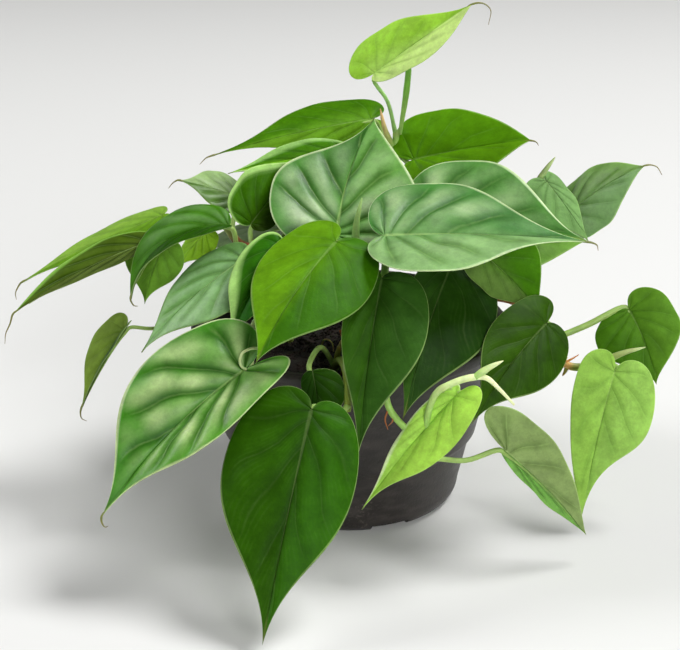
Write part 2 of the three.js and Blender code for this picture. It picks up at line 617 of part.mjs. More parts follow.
place('pot', potSolid(), 0x2f2a28, 0.6);
place('soil', largestPiece(soil), 0x1e1412, 0.95);
for (const stem of STEMS) place(stem.name, stemSolid(stem, 0), stem.colour, 0.5);
for (const row of LEAVES) {
  const leaf = { ...PLAIN_LEAF, ...row };
  const seated = leafSolid(leaf).subtract(fatStems.get(leaf.stem));
  place(leaf.name, largestPiece(seated), leaf.colour, 0.35);
}

const rolled = rolledLeafSolid(ROLLED_LEAF).subtract(fatStems.get(ROLLED_LEAF.stem));
place(ROLLED_LEAF.name, largestPiece(rolled), ROLLED_LEAF.colour, 0.35);

export default plant;
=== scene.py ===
"""A potted heartleaf philodendron: its looks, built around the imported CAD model.

Metres, +Z up, the origin under the middle of the pot, the photographed side towards -Y. Sizes in
the tables below are millimetres, as in the part's own source.
"""

import math
from functools import partial

import bmesh
import bpy
import numpy as np
from bpy.props import FloatProperty, FloatVectorProperty, IntProperty, PointerProperty
from bpy.types import Operator, Panel, PropertyGroup
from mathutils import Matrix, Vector, noise


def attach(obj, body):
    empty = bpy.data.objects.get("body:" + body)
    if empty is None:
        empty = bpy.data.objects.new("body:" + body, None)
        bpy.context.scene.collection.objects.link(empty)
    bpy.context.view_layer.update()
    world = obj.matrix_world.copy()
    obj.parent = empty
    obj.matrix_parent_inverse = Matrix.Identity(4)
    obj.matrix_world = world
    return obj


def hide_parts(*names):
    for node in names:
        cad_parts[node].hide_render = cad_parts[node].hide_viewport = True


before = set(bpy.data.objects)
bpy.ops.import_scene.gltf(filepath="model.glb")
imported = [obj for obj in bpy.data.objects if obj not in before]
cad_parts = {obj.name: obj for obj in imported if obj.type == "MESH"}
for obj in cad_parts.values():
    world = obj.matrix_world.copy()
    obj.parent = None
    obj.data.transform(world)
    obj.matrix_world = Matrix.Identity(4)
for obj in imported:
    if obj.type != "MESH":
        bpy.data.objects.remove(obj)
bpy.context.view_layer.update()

bl_info = {
    "name": "Potted heartleaf philodendron",
    "version": (1, 0, 0),
    "blender": (4, 5, 0),
    "location": "3D View > Sidebar > Philodendron",
    "description": "Builds a potted heartleaf philodendron around its CAD frame",
    "category": "Object",
}

MM = 0.001
DEGREE = math.pi / 180

# Pot and soil sizes, as in the part's source
POT_TOP_RADIUS = 60
POT_BASE_RADIUS = 41
POT_HEIGHT = 70
WALL = 1.6
RIM_LIP = 1.4
RIM_DEPTH = 5
STEP_HEIGHT = 27
STEP_LOW = STEP_HEIGHT - 1.5
STEP_HIGH = STEP_HEIGHT + 0.5
STEP_IN = 1.6
BASE_CORNER = 7
CORNER_SQUASH = 0.75
FLOOR_HEIGHT = 3.5
FOOT_RING_RADIUS = 31
CENTRE_DISC_RADIUS = 15
FOOT_NOTCHES = 4
FIRST_NOTCH = -68
NOTCH_WIDTH = 15
NOTCH_HEIGHT = 2.8
NOTCH_REACH = 30
DRAIN_HOLES = 6
DRAIN_RADIUS = 3
DRAIN_CIRCLE = 24
SOIL_TOP = 61
SOIL_GAP = 0.3
SOIL_BUMP = 1.2

# How far the small bends in the pot's wall are rounded, steps round its base corner, the angle
# in degrees that still looks sharp, and the fewest faces a side once its feet are cut
BEND = 0.6
CORNER_STEPS = 12
SHARP_EDGE = 35
FACES_A_SIDE = 10

# The soil's top: its waves, lumps and how far it has settled. Then its steps, and how much
# sparser, larger and flatter bark chips are
SOIL_WAVES = (9, 8)
SOIL_LUMP = 7
SOIL_ROUGH = 0.9
SOIL_SETTLED = 0.4
SOIL_RINGS = 44
SOIL_SIDES = 140
CHIP_SHARE = 1 / 14
CHIP_SIZE = 2.4
CRUMB_FLAT, CHIP_FLAT = 0.7, 0.35
CRUMB_SEED, CHIP_SEED = 11, 23

# Leaf sizes, as in the part's source
PETIOLE_RADIUS = 0.95
OUTLINE_TURN = 0.42
LOBE_REACH = 0.68
SHOULDER = 0.42
RIB_POINTS = 24
RIPPLES = 2.5

# Finer than the part's own blades: rows and columns of one half, the bend of its side veins, how
# many there are and how many fine ones lie between two, how far the halves' veins are staggered
BLADE_ROWS = 54
BLADE_COLUMNS = 14
VEIN_FOOT_POWER = 4.4
VEIN_SWEEP = 1.15
VEIN_BELLY = 1.12
MAIN_VEINS = 6
FINE_VEINS = 7
VEIN_STAGGER = 0.4

# Relief: the swelling between side veins and the groove over the midrib, how far veins drift in
# patches of a size, and how much thinner the margin is
PLEAT_HEIGHT = 1.5
MIDRIB_GROOVE = 0.22
GROOVE_WIDTH = 0.06
BAND_DRIFT = 15
DRIFT = 0.3
EDGE_THINNER = 0.45

# Size of the patches of painted sheen, and how strong a leaf's painted sheen is
# when its cuticle is the waxy one
PAINTED_SHEEN_PATCH = 9
WAXY_FROM = 0.4

# The stalk: its swollen foot, steps along each stretch, and how far behind and below the base it
# meets the blade. It runs on as a raised midrib under the blade: share of the length, depth below
# the blade's middle, and share of its own thickness
FOOT_SWELL = 0.3
FOOT_REACH = 0.03
STALK_STEPS = 7
UNDER_BLADE = (1.5, 1.2)
MIDRIB_BELOW = ((0.02, 1.0, 0.8), (0.12, 0.85, 0.5), (0.3, 0.7, 0.42), (0.6, 0.6, 0.3),
                (0.88, 0.4, 0.15))

# Thickness along a tube: shares of its length, and of its radius there. A drip tip's are in mm
SPIKE_SHAPE = (0, 0.25, 0.8, 1), (0.8, 1.0, 0.5, 0.12)
SCRAP_SHAPE = (0, 0.5, 1), (1.0, 0.85, 0.35)
ROLLED_SHAPE = (0, 0.25, 0.55, 0.8, 1), (0.6, 0.75, 1.0, 0.9, 0.12)
DRIP_SHAPE = (0, 0.3, 1), (0.2, 0.4, 0.1)
STEM_TAPERS_FROM = 0.78
LOOP_SHARE = 0.52

# Steps along and sides round the small tubes
STEM_STEPS = 16
SPIKE_STEPS, SPIKE_SIDES = 18, 10
SCRAP_STEPS, SCRAP_SIDES = 24, 7
ROLLED_STEPS, ROLLED_SIDES = 40, 16
DRIP_STEPS, DRIP_SIDES = 20, 6
LOOP_STEPS, LOOP_SIDES = 24, 10

# Nodes of the stems: how near a stalk starts, the ring's swelling, width and browning
NODE_NEAR = 3
NODE_SWELL = 0.12
NODE_WIDTH = 1.3
NODE_BROWN = 0.35

# Colours that stems and leaves share: a node's ring, the dry end of a drip tip, where a blade
# joins its stalk, and the rolled leaf from its foot up
RING_TONE = 0x8A6A3C
DRY_TIP = 0x8A7A50
JOINT_TONE = 0xC8DC90
ROLLED_TONES = (0xA8CC70, 0x6EA838)

# Camera, matched to the photograph
PHOTO_WIDTH = 680
CAMERA_FOCUS_PIXELS = 1530
CAMERA_PLACE = (-3.6, -545, 271)
CAMERA_PITCH = 20.5
SENSOR = 36

# The stage, in metres: half the floor's width, the point that the lamps face, how high the pale
# horizon reaches as the sine of its angle, and each lamp's place, width and share of the key power
FLOOR_REACH = 2.4
AIM = (0, 0, 0.08)
HORIZON_TOP = 0.3
LAMPS = {
    "Key": ((1.1, 0.3, 2.1), 1.0, 1.0),
    "Window": ((-1.9, 0.5, 1.6), 0.9, 0.5),
    "Front": ((0.8, -2.0, 1.1), 1.0, 0.55),
}

# Settings that many nodes share
TIMES = {"operation": "MULTIPLY"}
TIMES_PLUS = {"operation": "MULTIPLY_ADD"}
SOFT = {"interpolation_type": "SMOOTHSTEP"}
MIXED = {"data_type": "RGBA"}
TINTED = {"data_type": "RGBA", "blend_type": "MULTIPLY"}

# Materials and node trees, each made once and then shared
KEPT = {}


def half(width, rise, curl, lobe=0.15, widest=0.3, taper=0.3):
    return {"width": width, "rise": rise, "curl": curl, "lobe": lobe, "widest": widest,
            "taper": taper}


def grow(name, start, via, base, way, left, right, half_tints_with_painted_light, **own):
    """An open leaf. Its stalk runs from start through via to its blade's base. The way is the
    midrib's bearing, dip, arch and length. Each half has a width, the angle that it rises to, the
    angle that its margin curls and its outline's shape. The two halves' colours are partly the
    leaf's own green and partly painted light, lighter or darker as light falls on each half. Its
    own values take the place of a plain leaf's."""
    bearing, dip, arch, length = way
    # A plain leaf has no painted sheen between its veins and no painted shade near its midrib
    plain = {"sway": 0, "wave": 0.25, "ears": 0.5, "petiole": PETIOLE_RADIUS, "pleat": 0.2,
             "vein": 0.3, "silver": (0, 0), "sheen": 0xB8D0A8, "streak": 0, "rims": [],
             "stalk": 0x9CBC62, "under": (0x8FA873, 0x8FA873), "tip": 0x7A8A3A, "hook": [],
             "loop": []}
    return {**plain, "name": "leaf_" + name, "start": start, "via": via, "base": base,
            "bearing": bearing, "dip": dip, "arch": arch, "length": length, "left": half(*left),
            "right": half(*right), "half_tints_with_painted_light": half_tints_with_painted_light, **own}


# Each leaf's two half colours are partly painted light: lighter or darker as light falls on each
# half, and darker on leaves in the shade of others
LEAVES = [
    grow("top", (18, 42, 132), [(14.6, 33.5, 146)], (9.4, 24, 158.8), (353, -38, 3, 44),
         (15, 48, -30, 0.2, 0.15, 0.3), (11, -33, -20, 0.06, 0.55, 0.04), (0x9ACF3D, 0xC1E07F),
         petiole=0.75, pleat=0.1, vein=0.28, stalk=0xA4D47C,
         hook=[(4, 0, 0.4), (7, 0, -2), (6.4, 0, -7.4)]),
    grow("upper_right", (18, 42, 124), [(21, 40, 122)], (25, 34, 123), (350, -17, 10, 46),
         (20, 46, -30, 0.17, 0.2, 0.05), (15, -37, -25, 0.15, 0.45, 0.1), (0x508604, 0x508104),
         pleat=0.17, hook=[(2, 0, -0.6), (3, 0, -2)], vein=0.2),
    grow("upper_left", (17, 40, 118), [(13, 48, 130)], (9, 48, 136), (200, 4, 8, 66),
         (8, -80, -20, 0.08, 0.24, 0.42), (17, 18, -30, 0.12, 0.2, 0.45), (0x71A720, 0x3F7301),
         pleat=0.14, hook=[(-2.5, 0, -1), (-5, 0, -3.5)]),
    grow("upper_left_low", (16, 37, 100), [(8, 37, 115)], (-2, 33, 125.5), (192, -1, 15, 46),
         (12, -35, -20, 0.08), (7, 58, -20, 0.08), (0x78B424, 0x468202), pleat=0.11,
         rims=[(-1, 0.7, 0x9CCC70), (1, 0.8, 0xB4DC80)]),
    grow("back_upright", (2, -8, 92), [(-4, -12, 97)], (-5, -4, 104), (81, -48, 10, 53),
         (27, 22, -25, 0.15, 0.25, 0.45), (30, -6, -25, 0.15, 0.25, 0.1), (0x3F7C25, 0x6EA84C),
         sway=-26, pleat=1.0, vein=1.0, silver=(1.4, 1.2), sheen=0xBCD2A4,
         rims=[(1, 0.965, 0xD8E8B8), (-1, 0.965, 0xD8E8B8)]),
    grow("centre", (2, -7, 84), [(0, -20, 98)], (-5, -31, 110), (240, 15, 25, 60),
         (21.5, -30, -25, 0.15, 0.3, 0.2), (19.5, 5, -25, 0.2, 0.3, 0.2), (0x366A02, 0x5E900E),
         pleat=0.14, vein=0.25),
    grow("right_front", (3, -8, 86), [(8, -19, 99)], (12, -27, 111), (357, -4, 10, 73),
         (28, 25, -25, 0.09, 0.24, 0.42), (24, -15, -15, 0.09, 0.24, 0.42), (0x417E33, 0x85AE6C),
         pleat=0.8, vein=0.7, silver=(1.2, 0.3), hook=[(2, 0, -1), (2.6, 0, -3)],
         rims=[(1, 0.965, 0xD0E4B4), (-1, 0.965, 0xD0E4B4)], sheen=0xB8D09C),
    grow("right_behind", (33, 7, 82), [(28, 6, 98)], (28, 0, 108), (346, -5, 15, 60),
         (26, 48, -25, 0.15, 0.28, 0.3), (17, -70, -15, 0.1, 0.55, 0.05), (0x4F8739, 0x79AC44),
         pleat=0.5, vein=0.6, silver=(1.0, 0.6), rims=[(1, 0.965, 0xD0E4B4)], sheen=0xB8D09C),
    grow("far_right_high", (70, 9, 116), [(77, 14, 110)], (83, 16, 106), (339, -48, 20, 36),
         (15, 31, -25, 0.15, 0.3, 0.15), (14, -60, -25, 0.15, 0.3, 0.15), (0x78A44F, 0x87B270),
         pleat=0.22, hook=[(2, 0, 0.2), (4.4, 0, -0.6), (6.4, 0, -3.6)], silver=(0.5, 0.5)),
    grow("right_folded", (68, 9, 116), [(71, 8, 121)], (73, 6, 122), (322, 41, 10, 28),
         (6, 20, -15), (13, -32, -20), (0x79A35F, 0x719A58), pleat=0.22),
    grow("right_hanging", (52, -15.8, 83.8), [(53, -17, 91), (50, -20, 100)], (46, -23, 104),
         (5, 37, 20, 36), (15, 88, -25), (10, -75, -20), (0x437A04, 0x5C7C34), pleat=0.17),
    grow("right_dark", (66, -16, 77.5), [(70, -23, 77)], (70.5, -30, 79), (231, 16, 22, 52),
         (15.5, -45, -25, 0.08), (14, 40, -25, 0.2), (0x284904, 0x2E5103), pleat=0.17, vein=0.2,
         streak=0.1),
    grow("far_right", (75, -15, 67), [(88, -13, 72)], (104, -10, 77), (318, 50, 25, 30),
         (15, 55, -25, 0.2, 0.3, 0.25), (17, -50, -25, 0.1, 0.3, 0.25), (0x5D8E23, 0x497A13),
         petiole=1.2, pleat=0.17),
    grow("right_low", (91, -18, 58.5), [(94, -21, 60)], (97, -26, 59), (232, 63, 15, 55),
         (18, -37, -25, 0.12, 0.28, 0.5), (14, 48, -25, 0.12, 0.08, 0.05), (0x99C75A, 0x8FBC4D),
         pleat=0.11, vein=0.32),
    grow("right_turned", (28, -66, 43), [(40, -64, 41)], (54, -60, 43), (356, 39, 16, 44),
         (5, -80, -20, 0.03, 0.5, 0.1), (14.5, 92, -20, 0.32, 0.04, 0.15), (0x4F8C30, 0x4F8C30),
         ears=0, pleat=0.35, under=(0x8CC460, 0xA2B074), vein=0.5),
    grow("half_rolled", (31, -67, 69), [(33, -64.5, 68.5)], (36, -65, 66), (199, 43, 10, 51),
         (12, -34, -60, 0.16), (6, 50, -80, 0.08), (0xACDE53, 0xAEE05C), pleat=0.1, vein=0.24,
         rims=[(-1, 0.86, 0xE0F4B8)]),
    grow("centre_dark", (17, -40, 62), [(14, -32, 88)], (11, -36, 98), (258, 35, 30, 66),
         (19, -1, -25, 0.06), (11, 25, -25, 0.06), (0x325A1A, 0x2A5206), pleat=0.17, vein=0.16,
         streak=0.2),
    grow("centre_shaded", (26, 6, 68), [(33, -4, 90)], (38, -15, 99), (251, 18, 26, 74),
         (23, -35, -25, 0.06, 0.3, 0.2), (12, -4, -20, 0.08, 0.3, 0.2), (0x1A3A04, 0x305418),
         pleat=0.17, vein=0.16),
    grow("rim_small", (-5, -36, 64), [(-10, -46, 76), (-13, -57, 77)], (-13, -63, 74),
         (320, 76, 8, 25), (10, 50, -15, 0.03), (5, -50, -15, 0.03), (0x234902, 0x1A3C02),
         pleat=0.11, vein=0.24),
    grow("front", (-1, -65, 62), [(-5, -71, 61)], (-13, -77, 66), (252, 45, 12, 79),
         (20, -26, -20, 0.07), (25, 6, -20, 0.1), (0x2E6202, 0x2B5602), pleat=0.4, vein=0.14,
         streak=0.5),
    grow("left_front", (-24, 2, 68), [(-30, -28, 84), (-35, -50, 82)], (-36, -62, 74),
         (204, 28, 20, 69), (17.5, -12, -25, 0.22), (25, 40, -40, 0.18), (0x4C911E, 0x377D0F),
         sway=10, pleat=1.3, vein=0.9, silver=(1.5, 1.7),
         hook=[(0, 0, -2.5), (1, 0, -4), (2, 0, -3.6)],
         rims=[(-1, 0.965, 0xDCE8B8), (1, 0.965, 0xC8DCA0)], stalk=0xC8DC98, loop=[(6.0, 5.5, 5.4),
         (3.4, 2.6, 7.0), (1.2, 0.4, 7.3), (-0.7, -0.6, 6.4), (-1.5, -1.2, 4.2), (-1.0, -1.2, 1.8),
         (0.5, -0.6, 0.5)], sheen=0xC4DC98),
    grow("left_mid", (-31, -1, 84), [(-34, -12, 96)], (-38, -22, 101), (206, 26, 20, 50),
         (17, -18, -20, 0.05), (14, 15, -20, 0.1), (0x7FAB6A, 0x68984E), pleat=0.3, vein=0.5,
         silver=(0.5, 0.5), sheen=0xA8C8A4),
    grow("left_inner", (1, -5, 72), [(-14, -16, 94)], (-24, -28, 108), (232, 34, 20, 42),
         (12, -7, -20, 0.08), (11, 20, -60, 0.08), (0x287700, 0x286002), pleat=0.17,
         rims=[(-1, 0.7, 0xA0CC70)]),
    grow("left_hood", (-36, -2, 98), [(-37, 2, 101)], (-37, 8, 105), (32, -47, 10, 35),
         (14, 60, -60, 0.1), (8, -56, -30, 0.05), (0x3C7001, 0x334F05), pleat=0.17,
         rims=[(1, 0.82, 0xA8D478)]),
    grow("left_arched", (-32, -1, 90), [(-41, -8, 100)], (-44, -11, 110), (192, -10, 90, 50),
         (5.5, -15, -70, 0.03, 0.3, 0.2), (18, 10, -40, 0.03, 0.3, 0.2), (0x265202, 0x3D7704),
         pleat=0.4, silver=(0.0, 0.4), hook=[(1.2, 0, -2.4), (2.6, 0, -2.6)]),
    grow("left_under", (-50, -1, 109.8), [(-58, 2, 104)], (-70, 7.5, 98), (215, 60, 15, 25),
         (10, -50, -20, 0.1), (14, 35, -20, 0.2), (0x77AD35, 0x517B1F), pleat=0.11,
         under=(0x8CB868, 0x8CB868)),
    grow("far_left_back", (-64, 6, 106), [(-67, 9, 107)], (-71, 13, 107), (191, 20, 7, 59),
         (9, -15, -20, 0.06), (11, 6, -25, 0.06), (0x639419, 0x80A93E), pleat=0.11,
         hook=[(-1.5, 0, -2), (-2.6, 0, -4.5), (-2.4, 0, -7)]),
    grow("far_left_front", (-62, 5, 107), [(-68, 1, 105)], (-75, -3, 101), (194, 16, 18, 56),
         (3.5, -60, -20, 0.05), (9, 30, -25, 0.05, 0.3, 0.12), (0x57692B, 0x445D0E), pleat=0.17,
         under=(0x6B4A40, 0x6B4A40), hook=[(-1.5, 0, -4), (-3.4, 0, -8), (-4, 0, -12)],
         rims=[(-1, 0.86, 0x7CAC44)], vein=0.8),
    grow("left_pale", (-58, 4, 110), [(-56, 18, 103)], (-56, 30, 95), (212, 37, 15, 18),
         (8, -35, -20), (10, -6, -20), (0x98C830, 0x8CC028), pleat=0.1),
    grow("left_silver", (-41, -4, 101), [(-44, 6, 101), (-44, 18, 105)], (-42, 28, 109),
         (196, -26, 10, 26), (9, -40, -20, 0.08), (14, 20, -20, 0.08), (0x4E7425, 0x94B372),
         pleat=0.3, silver=(0.5, 0.5), hook=[(-2, 0, -1), (-4, 0, -3.4)]),
    grow("left_small", (-27, 0, 76), [(-52, -12, 76), (-72, -19, 73)], (-82.5, -20, 73),
         (207, 49, 15, 33), (11, 26, -15), (14, 8, -15), (0x2A4F01, 0x789634), petiole=0.7,
         pleat=0.11, hook=[(-0.6, 0, -2.5), (-0.2, 0, -4.6), (1.6, 0, -5.6)],
         under=(0x44601A, 0x44601A), vein=0.15),
    grow("back_left", (-24, 1, 70), [(-26, 14, 90)], (-26, 28, 98), (120, 22, 30, 58),
         (21, 8, -25), (21, 0, -25), (0x528F1C, 0x4F8A18)),
    grow("back_right", (29, 6, 74), [(31, 16, 86)], (32, 28, 92), (58, 24, 30, 56), (20, 6, -25),
         (20, -4, -25), (0x437F18, 0x437C18)),
    grow("back_low", (13, 28, 66), [(6, 42, 82)], (2, 56, 86), (96, 38, 25, 52), (19, 10, -25),
         (19, 4, -25), (0x376E12, 0x376E12)),
    grow("back_high", (17.5, 40.5, 112), [(19, 50, 111)], (16, 60, 107), (78, 28, 30, 54),
         (19, 2, -25), (20, 10, -25), (0x4F9018, 0x528F1C)),
    grow("back_far_right", (50, 8.5, 98.5), [(53, 20, 101)], (54, 32, 99), (62, 20, 35, 50),
         (18, 6, -25), (18, 2, -25), (0x437F18, 0x48861C)),
    grow("back_inner", (1.5, -6.5, 84), [(-6, 10, 98), (-11, 28, 108)], (-14, 40, 112),
         (125, 15, 30, 48), (17, 4, -25), (17, 8, -25), (0x4C8A14, 0x4C8A14)),
]

ROLLED_LEAF = dict(name="leaf_top_rolled", start=(19.8, 41.5, 131.5), end=(23, 34, 164),
                   radius=1.3)

# A spike is a spear, a dry sheath or an aerial root
STEMS = [
    dict(name="stem_back", radius=1.6, tip=0.8, colour=0x9CC862, path=[(12, 24, 38), (13, 28, 61),
         (16, 38, 100), (18.5, 42, 133)], spikes=[((17, 41, 126), (12, 39, 142), 1.3, 0xF4BC8C)]),
    dict(name="stem_centre", radius=1.7, tip=0.8, colour=0x6F9A44, path=[(1, -4, 38), (1, -5, 61),
         (2, -8, 88), (2, -9, 103)], spikes=[((2, -9, 101), (4.4, -6, 119), 1.5, 0xB4DC80)]),
    dict(name="stem_left", radius=1.6, tip=0.7, colour=0x8CA048, dry=[((-36, -2, 98), 9, 0x9A4A14),
         ((-41, -4, 101), 3, 0x5A200C)], path=[(-22, 3, 38), (-23, 2, 61), (-32, -1, 90),
         (-36, -2, 98), (-41, -4, 101), (-46, -4, 108), (-54, 2, 111), (-64, 6, 106)],
         spikes=[((-40, -4, 101), (-41, -5, 96), 0.8, 0x8C4A24)]),
    dict(name="stem_right", radius=1.6, tip=0.8, colour=0x74A048, path=[(24, 6, 38), (25, 6, 61),
         (38, 8, 90), (58, 9, 105), (70, 9, 119)],
         spikes=[((69, 9, 117), (76, 7, 131), 1.5, 0xC8DC96)]),
    dict(name="stem_right_low", radius=1.5, tip=0.8, colour=0x98A848,
         dry=[((58, -16, 83), 8, 0xB06A2C), ((80, -18, 59), 3, 0xE0B060)], path=[(34, -10, 38),
         (36, -11, 61), (46, -14, 82), (54, -16, 84), (63, -16, 81), (72, -15, 70), (81, -18, 58),
         (90, -18, 58), (95, -19, 60)], spikes=[((94, -19, 60), (109, -20, 66), 1.3, 0xC8D898),
         ((81, -18, 58), (79, -19, 54), 0.9, 0x9A7A30)]),
    dict(name="stem_front_right", radius=1.2, tip=0.35, colour=0x9CC860, young=0xF8FFC4,
         path=[(17, -36, 40), (17, -40, 61), (13, -52, 72), (12, -60, 74), (13, -65.5, 62),
         (22, -67, 51), (27, -67, 45), (26, -68, 58), (29, -68, 68), (34, -67, 71),
         (41, -65, 72.5), (46, -64, 72), (51, -64, 67.5), (56, -64, 62)],
         spikes=[((42, -65, 72.5), (52, -61, 77), 1.4, 0xF2FAC0)]),
    dict(name="stem_front", radius=1.5, tip=0.8, colour=0x8CA03C, path=[(-6, -30, 40),
         (-6, -33, 61), (-4, -46, 71), (-2, -58, 74), (-1, -63, 71), (-1, -65, 60)],
         spikes=[((-5, -42, 68), (-2, -50, 82), 1.2, 0xA88A50)]),
]

# Dry sheaths and thin roots, each with its thickness, colour and path, that lie on a stem or
# the soil
SCRAPS = [
    (0.5, 0x9A5424, [(-3.5, -42, 81), (-1.8, -42, 75), (-2.2, -43, 69), (-4, -40, 61)]),
    (0.45, 0xD8C880, [(-12.8, -12, 61), (-12, -14, 63.6), (-9.3, -18, 64.2), (-7.2, -24, 63.6),
     (-6.6, -25.5, 61)]),
    (0.4, 0xC8B470, [(-10.4, -5, 61), (-9.6, -6.5, 63.6), (-8, -8, 64.2), (-6.4, -10.5, 63.6),
     (-6, -12, 61)]),
    (0.35, 0x9A5A28, [(13, -65.8, 61.5), (11.8, -67, 58), (12.8, -67, 54)]),
    (0.3, 0xA8683A, [(13, -65.8, 61), (14.4, -67, 57.5), (13, -67, 55.5)]),
    (0.5, 0xE09A58, [(79, -18.5, 59), (81.5, -20, 61), (84.5, -20, 63)]),
    (0.45, 0xE8B46C, [(80, -18.5, 59), (78.2, -20, 60.5), (80.5, -20.4, 62)]),
    (0.35, 0xB05A24, [(-38, -3, 98.5), (-36.5, -4, 95), (-34.8, -3.6, 93), (-35.6, -3.4, 91.6)]),
]


# Colours


def linear(code):
    """A colour written as an sRGB hex number, as linear red, green, blue and alpha."""
    out = []
    for shift in (16, 8, 0):
        c = ((code >> shift) & 255) / 255
        out.append(c / 12.92 if c <= 0.04045 else ((c + 0.055) / 1.055) ** 2.4)
    return (*out, 1.0)


def blend_colours(first, second, shares):
    shares = np.asarray(shares)[..., None]
    return np.array(first) * (1 - shares) + np.array(second) * shares


# Settings that a user would change

COLOUR = {"subtype": "COLOR", "size": 4, "min": 0, "max": 1}


class PotSettings(PropertyGroup):
    plastic: FloatVectorProperty(
        name="Plastic", description="Colour of the pot's moulded plastic",
        default=linear(0x231E1B), **COLOUR)
    sides: IntProperty(
        name="Sides", description="Sides of the turned pot", default=144, min=24, max=360)


class SoilSettings(PropertyGroup):
    colour: FloatVectorProperty(
        name="Soil", description="Colour of the damp potting mix", default=linear(0x120C08),
        **COLOUR)
    crumb: FloatProperty(
        name="Crumb size", description="Radius of the usual crumb of soil", default=0.9 * MM,
        unit="LENGTH")
    density: FloatProperty(
        name="Crumbs per square metre", description="How densely crumbs cover the soil",
        default=260000, min=0)


class LeafSettings(PropertyGroup):
    thickness: FloatProperty(
        name="Thickness", description="Thickness of a blade at its midrib", default=0.55 * MM,
        unit="LENGTH")
    pleats: FloatProperty(
        name="Pleats", description="How deep the blade sinks at its side veins", default=1.0,
        min=0, max=3)
    gloss: FloatProperty(
        name="Roughness", description="Roughness of the waxy upper face", default=0.36, min=0,
        max=1)


class StemSettings(PropertyGroup):
    sides: IntProperty(
        name="Sides", description="Sides of a stem or leaf stalk", default=14, min=5, max=32)


class StageSettings(PropertyGroup):
    floor: FloatVectorProperty(
        name="Floor", description="Colour of the plain floor", default=linear(0xE6E6E4),
        **COLOUR)
    daylight: FloatProperty(
        name="Fill light", description="Strength of the even light from overhead",
        default=0.035, min=0)
    horizon: FloatProperty(
        name="Horizon", description="Brightness of the pale surroundings at eye level",
        default=0.62, min=0)
    key: FloatProperty(
        name="Key light", description="Power of the large soft light overhead", default=48.0,
        min=0, subtype="POWER")


# Nodes


def add_node(tree, kind, inputs=(), **settings):
    """Adds a node with its settings. A shader node's kind is written without ShaderNode. Inputs
    are given by name or number, or in a list that starts at the first. An input given as a
    socket is linked, and so is one given as a node, from its first output in use."""
    made = tree.nodes.new(kind if "Node" in kind else "ShaderNode" + kind)
    for key, value in settings.items():
        setattr(made, key, value)
    for key, value in (inputs if isinstance(inputs, dict) else dict(enumerate(inputs))).items():
        if isinstance(value, bpy.types.Node):
            value = next(out for out in value.outputs if out.enabled)
        if isinstance(value, bpy.types.NodeSocket):
            tree.links.new(value, made.inputs[key])
        else:
            made.inputs[key].default_value = value
    return made


def keep(name, make, *values):
    """Makes a material or tree once and hands out the same one after that."""
    if name not in KEPT:
        KEPT[name] = make(*values)
    return KEPT[name]


def new_material(name):
    """An empty material, and what adds nodes to it."""
    material = bpy.data.materials.new(name)
    material.use_nodes = True
    material.node_tree.nodes.clear()
    return material, partial(add_node, material.node_tree)


def new_tree(name, **kinds):
    """An empty Geometry Nodes tree with the named inputs, what adds nodes to it, its inputs'
    sockets, and the keys that a modifier knows them by."""
    tree = bpy.data.node_groups.new(name, "GeometryNodeTree")
    keys = {}
    for label, kind in {"Geometry": "Geometry", **kinds}.items():
        keys[label] = tree.interface.new_socket(label, in_out="INPUT",
                                                socket_type="NodeSocket" + kind).identifier
    tree.interface.new_socket("Geometry", in_out="OUTPUT", socket_type="NodeSocketGeometry")
    add = partial(add_node, tree)
    return tree, add, add("NodeGroupInput").outputs, keys


def close_tree(add, shape, skin):
    """Ends a tree: what it made is turned into plain faces and gets its material."""
    solid = add("GeometryNodeRealizeInstances", [shape])
    finished = add("GeometryNodeSetMaterial", {"Geometry": solid, "Material": skin})
    add("NodeGroupOutput", [finished])


def put(name, data):
    """Puts a new object in the scene."""
    made = bpy.data.objects.new(name, data)
    bpy.context.scene.collection.objects.link(made)
    return made


def bake(thing):
    """Turns an object with its modifiers into a plain mesh, and takes the object away."""
    depth = bpy.context.evaluated_depsgraph_get()
    mesh = bpy.data.meshes.new_from_object(thing.evaluated_get(depth))
    thing.modifiers.clear()
    bpy.data.objects.remove(thing)
    return mesh


def run_tree(name, make, data, **values):
    """Runs a tree with the named values on a curve or mesh, and bakes it to a plain mesh."""
    tree, keys = keep(name, make)
    holder = put(name, data)
    modifier = holder.modifiers.new(name, "NODES")
    modifier.node_group = tree
    for label, value in values.items():
        modifier[keys[label]] = value
    return bake(holder)


# Materials


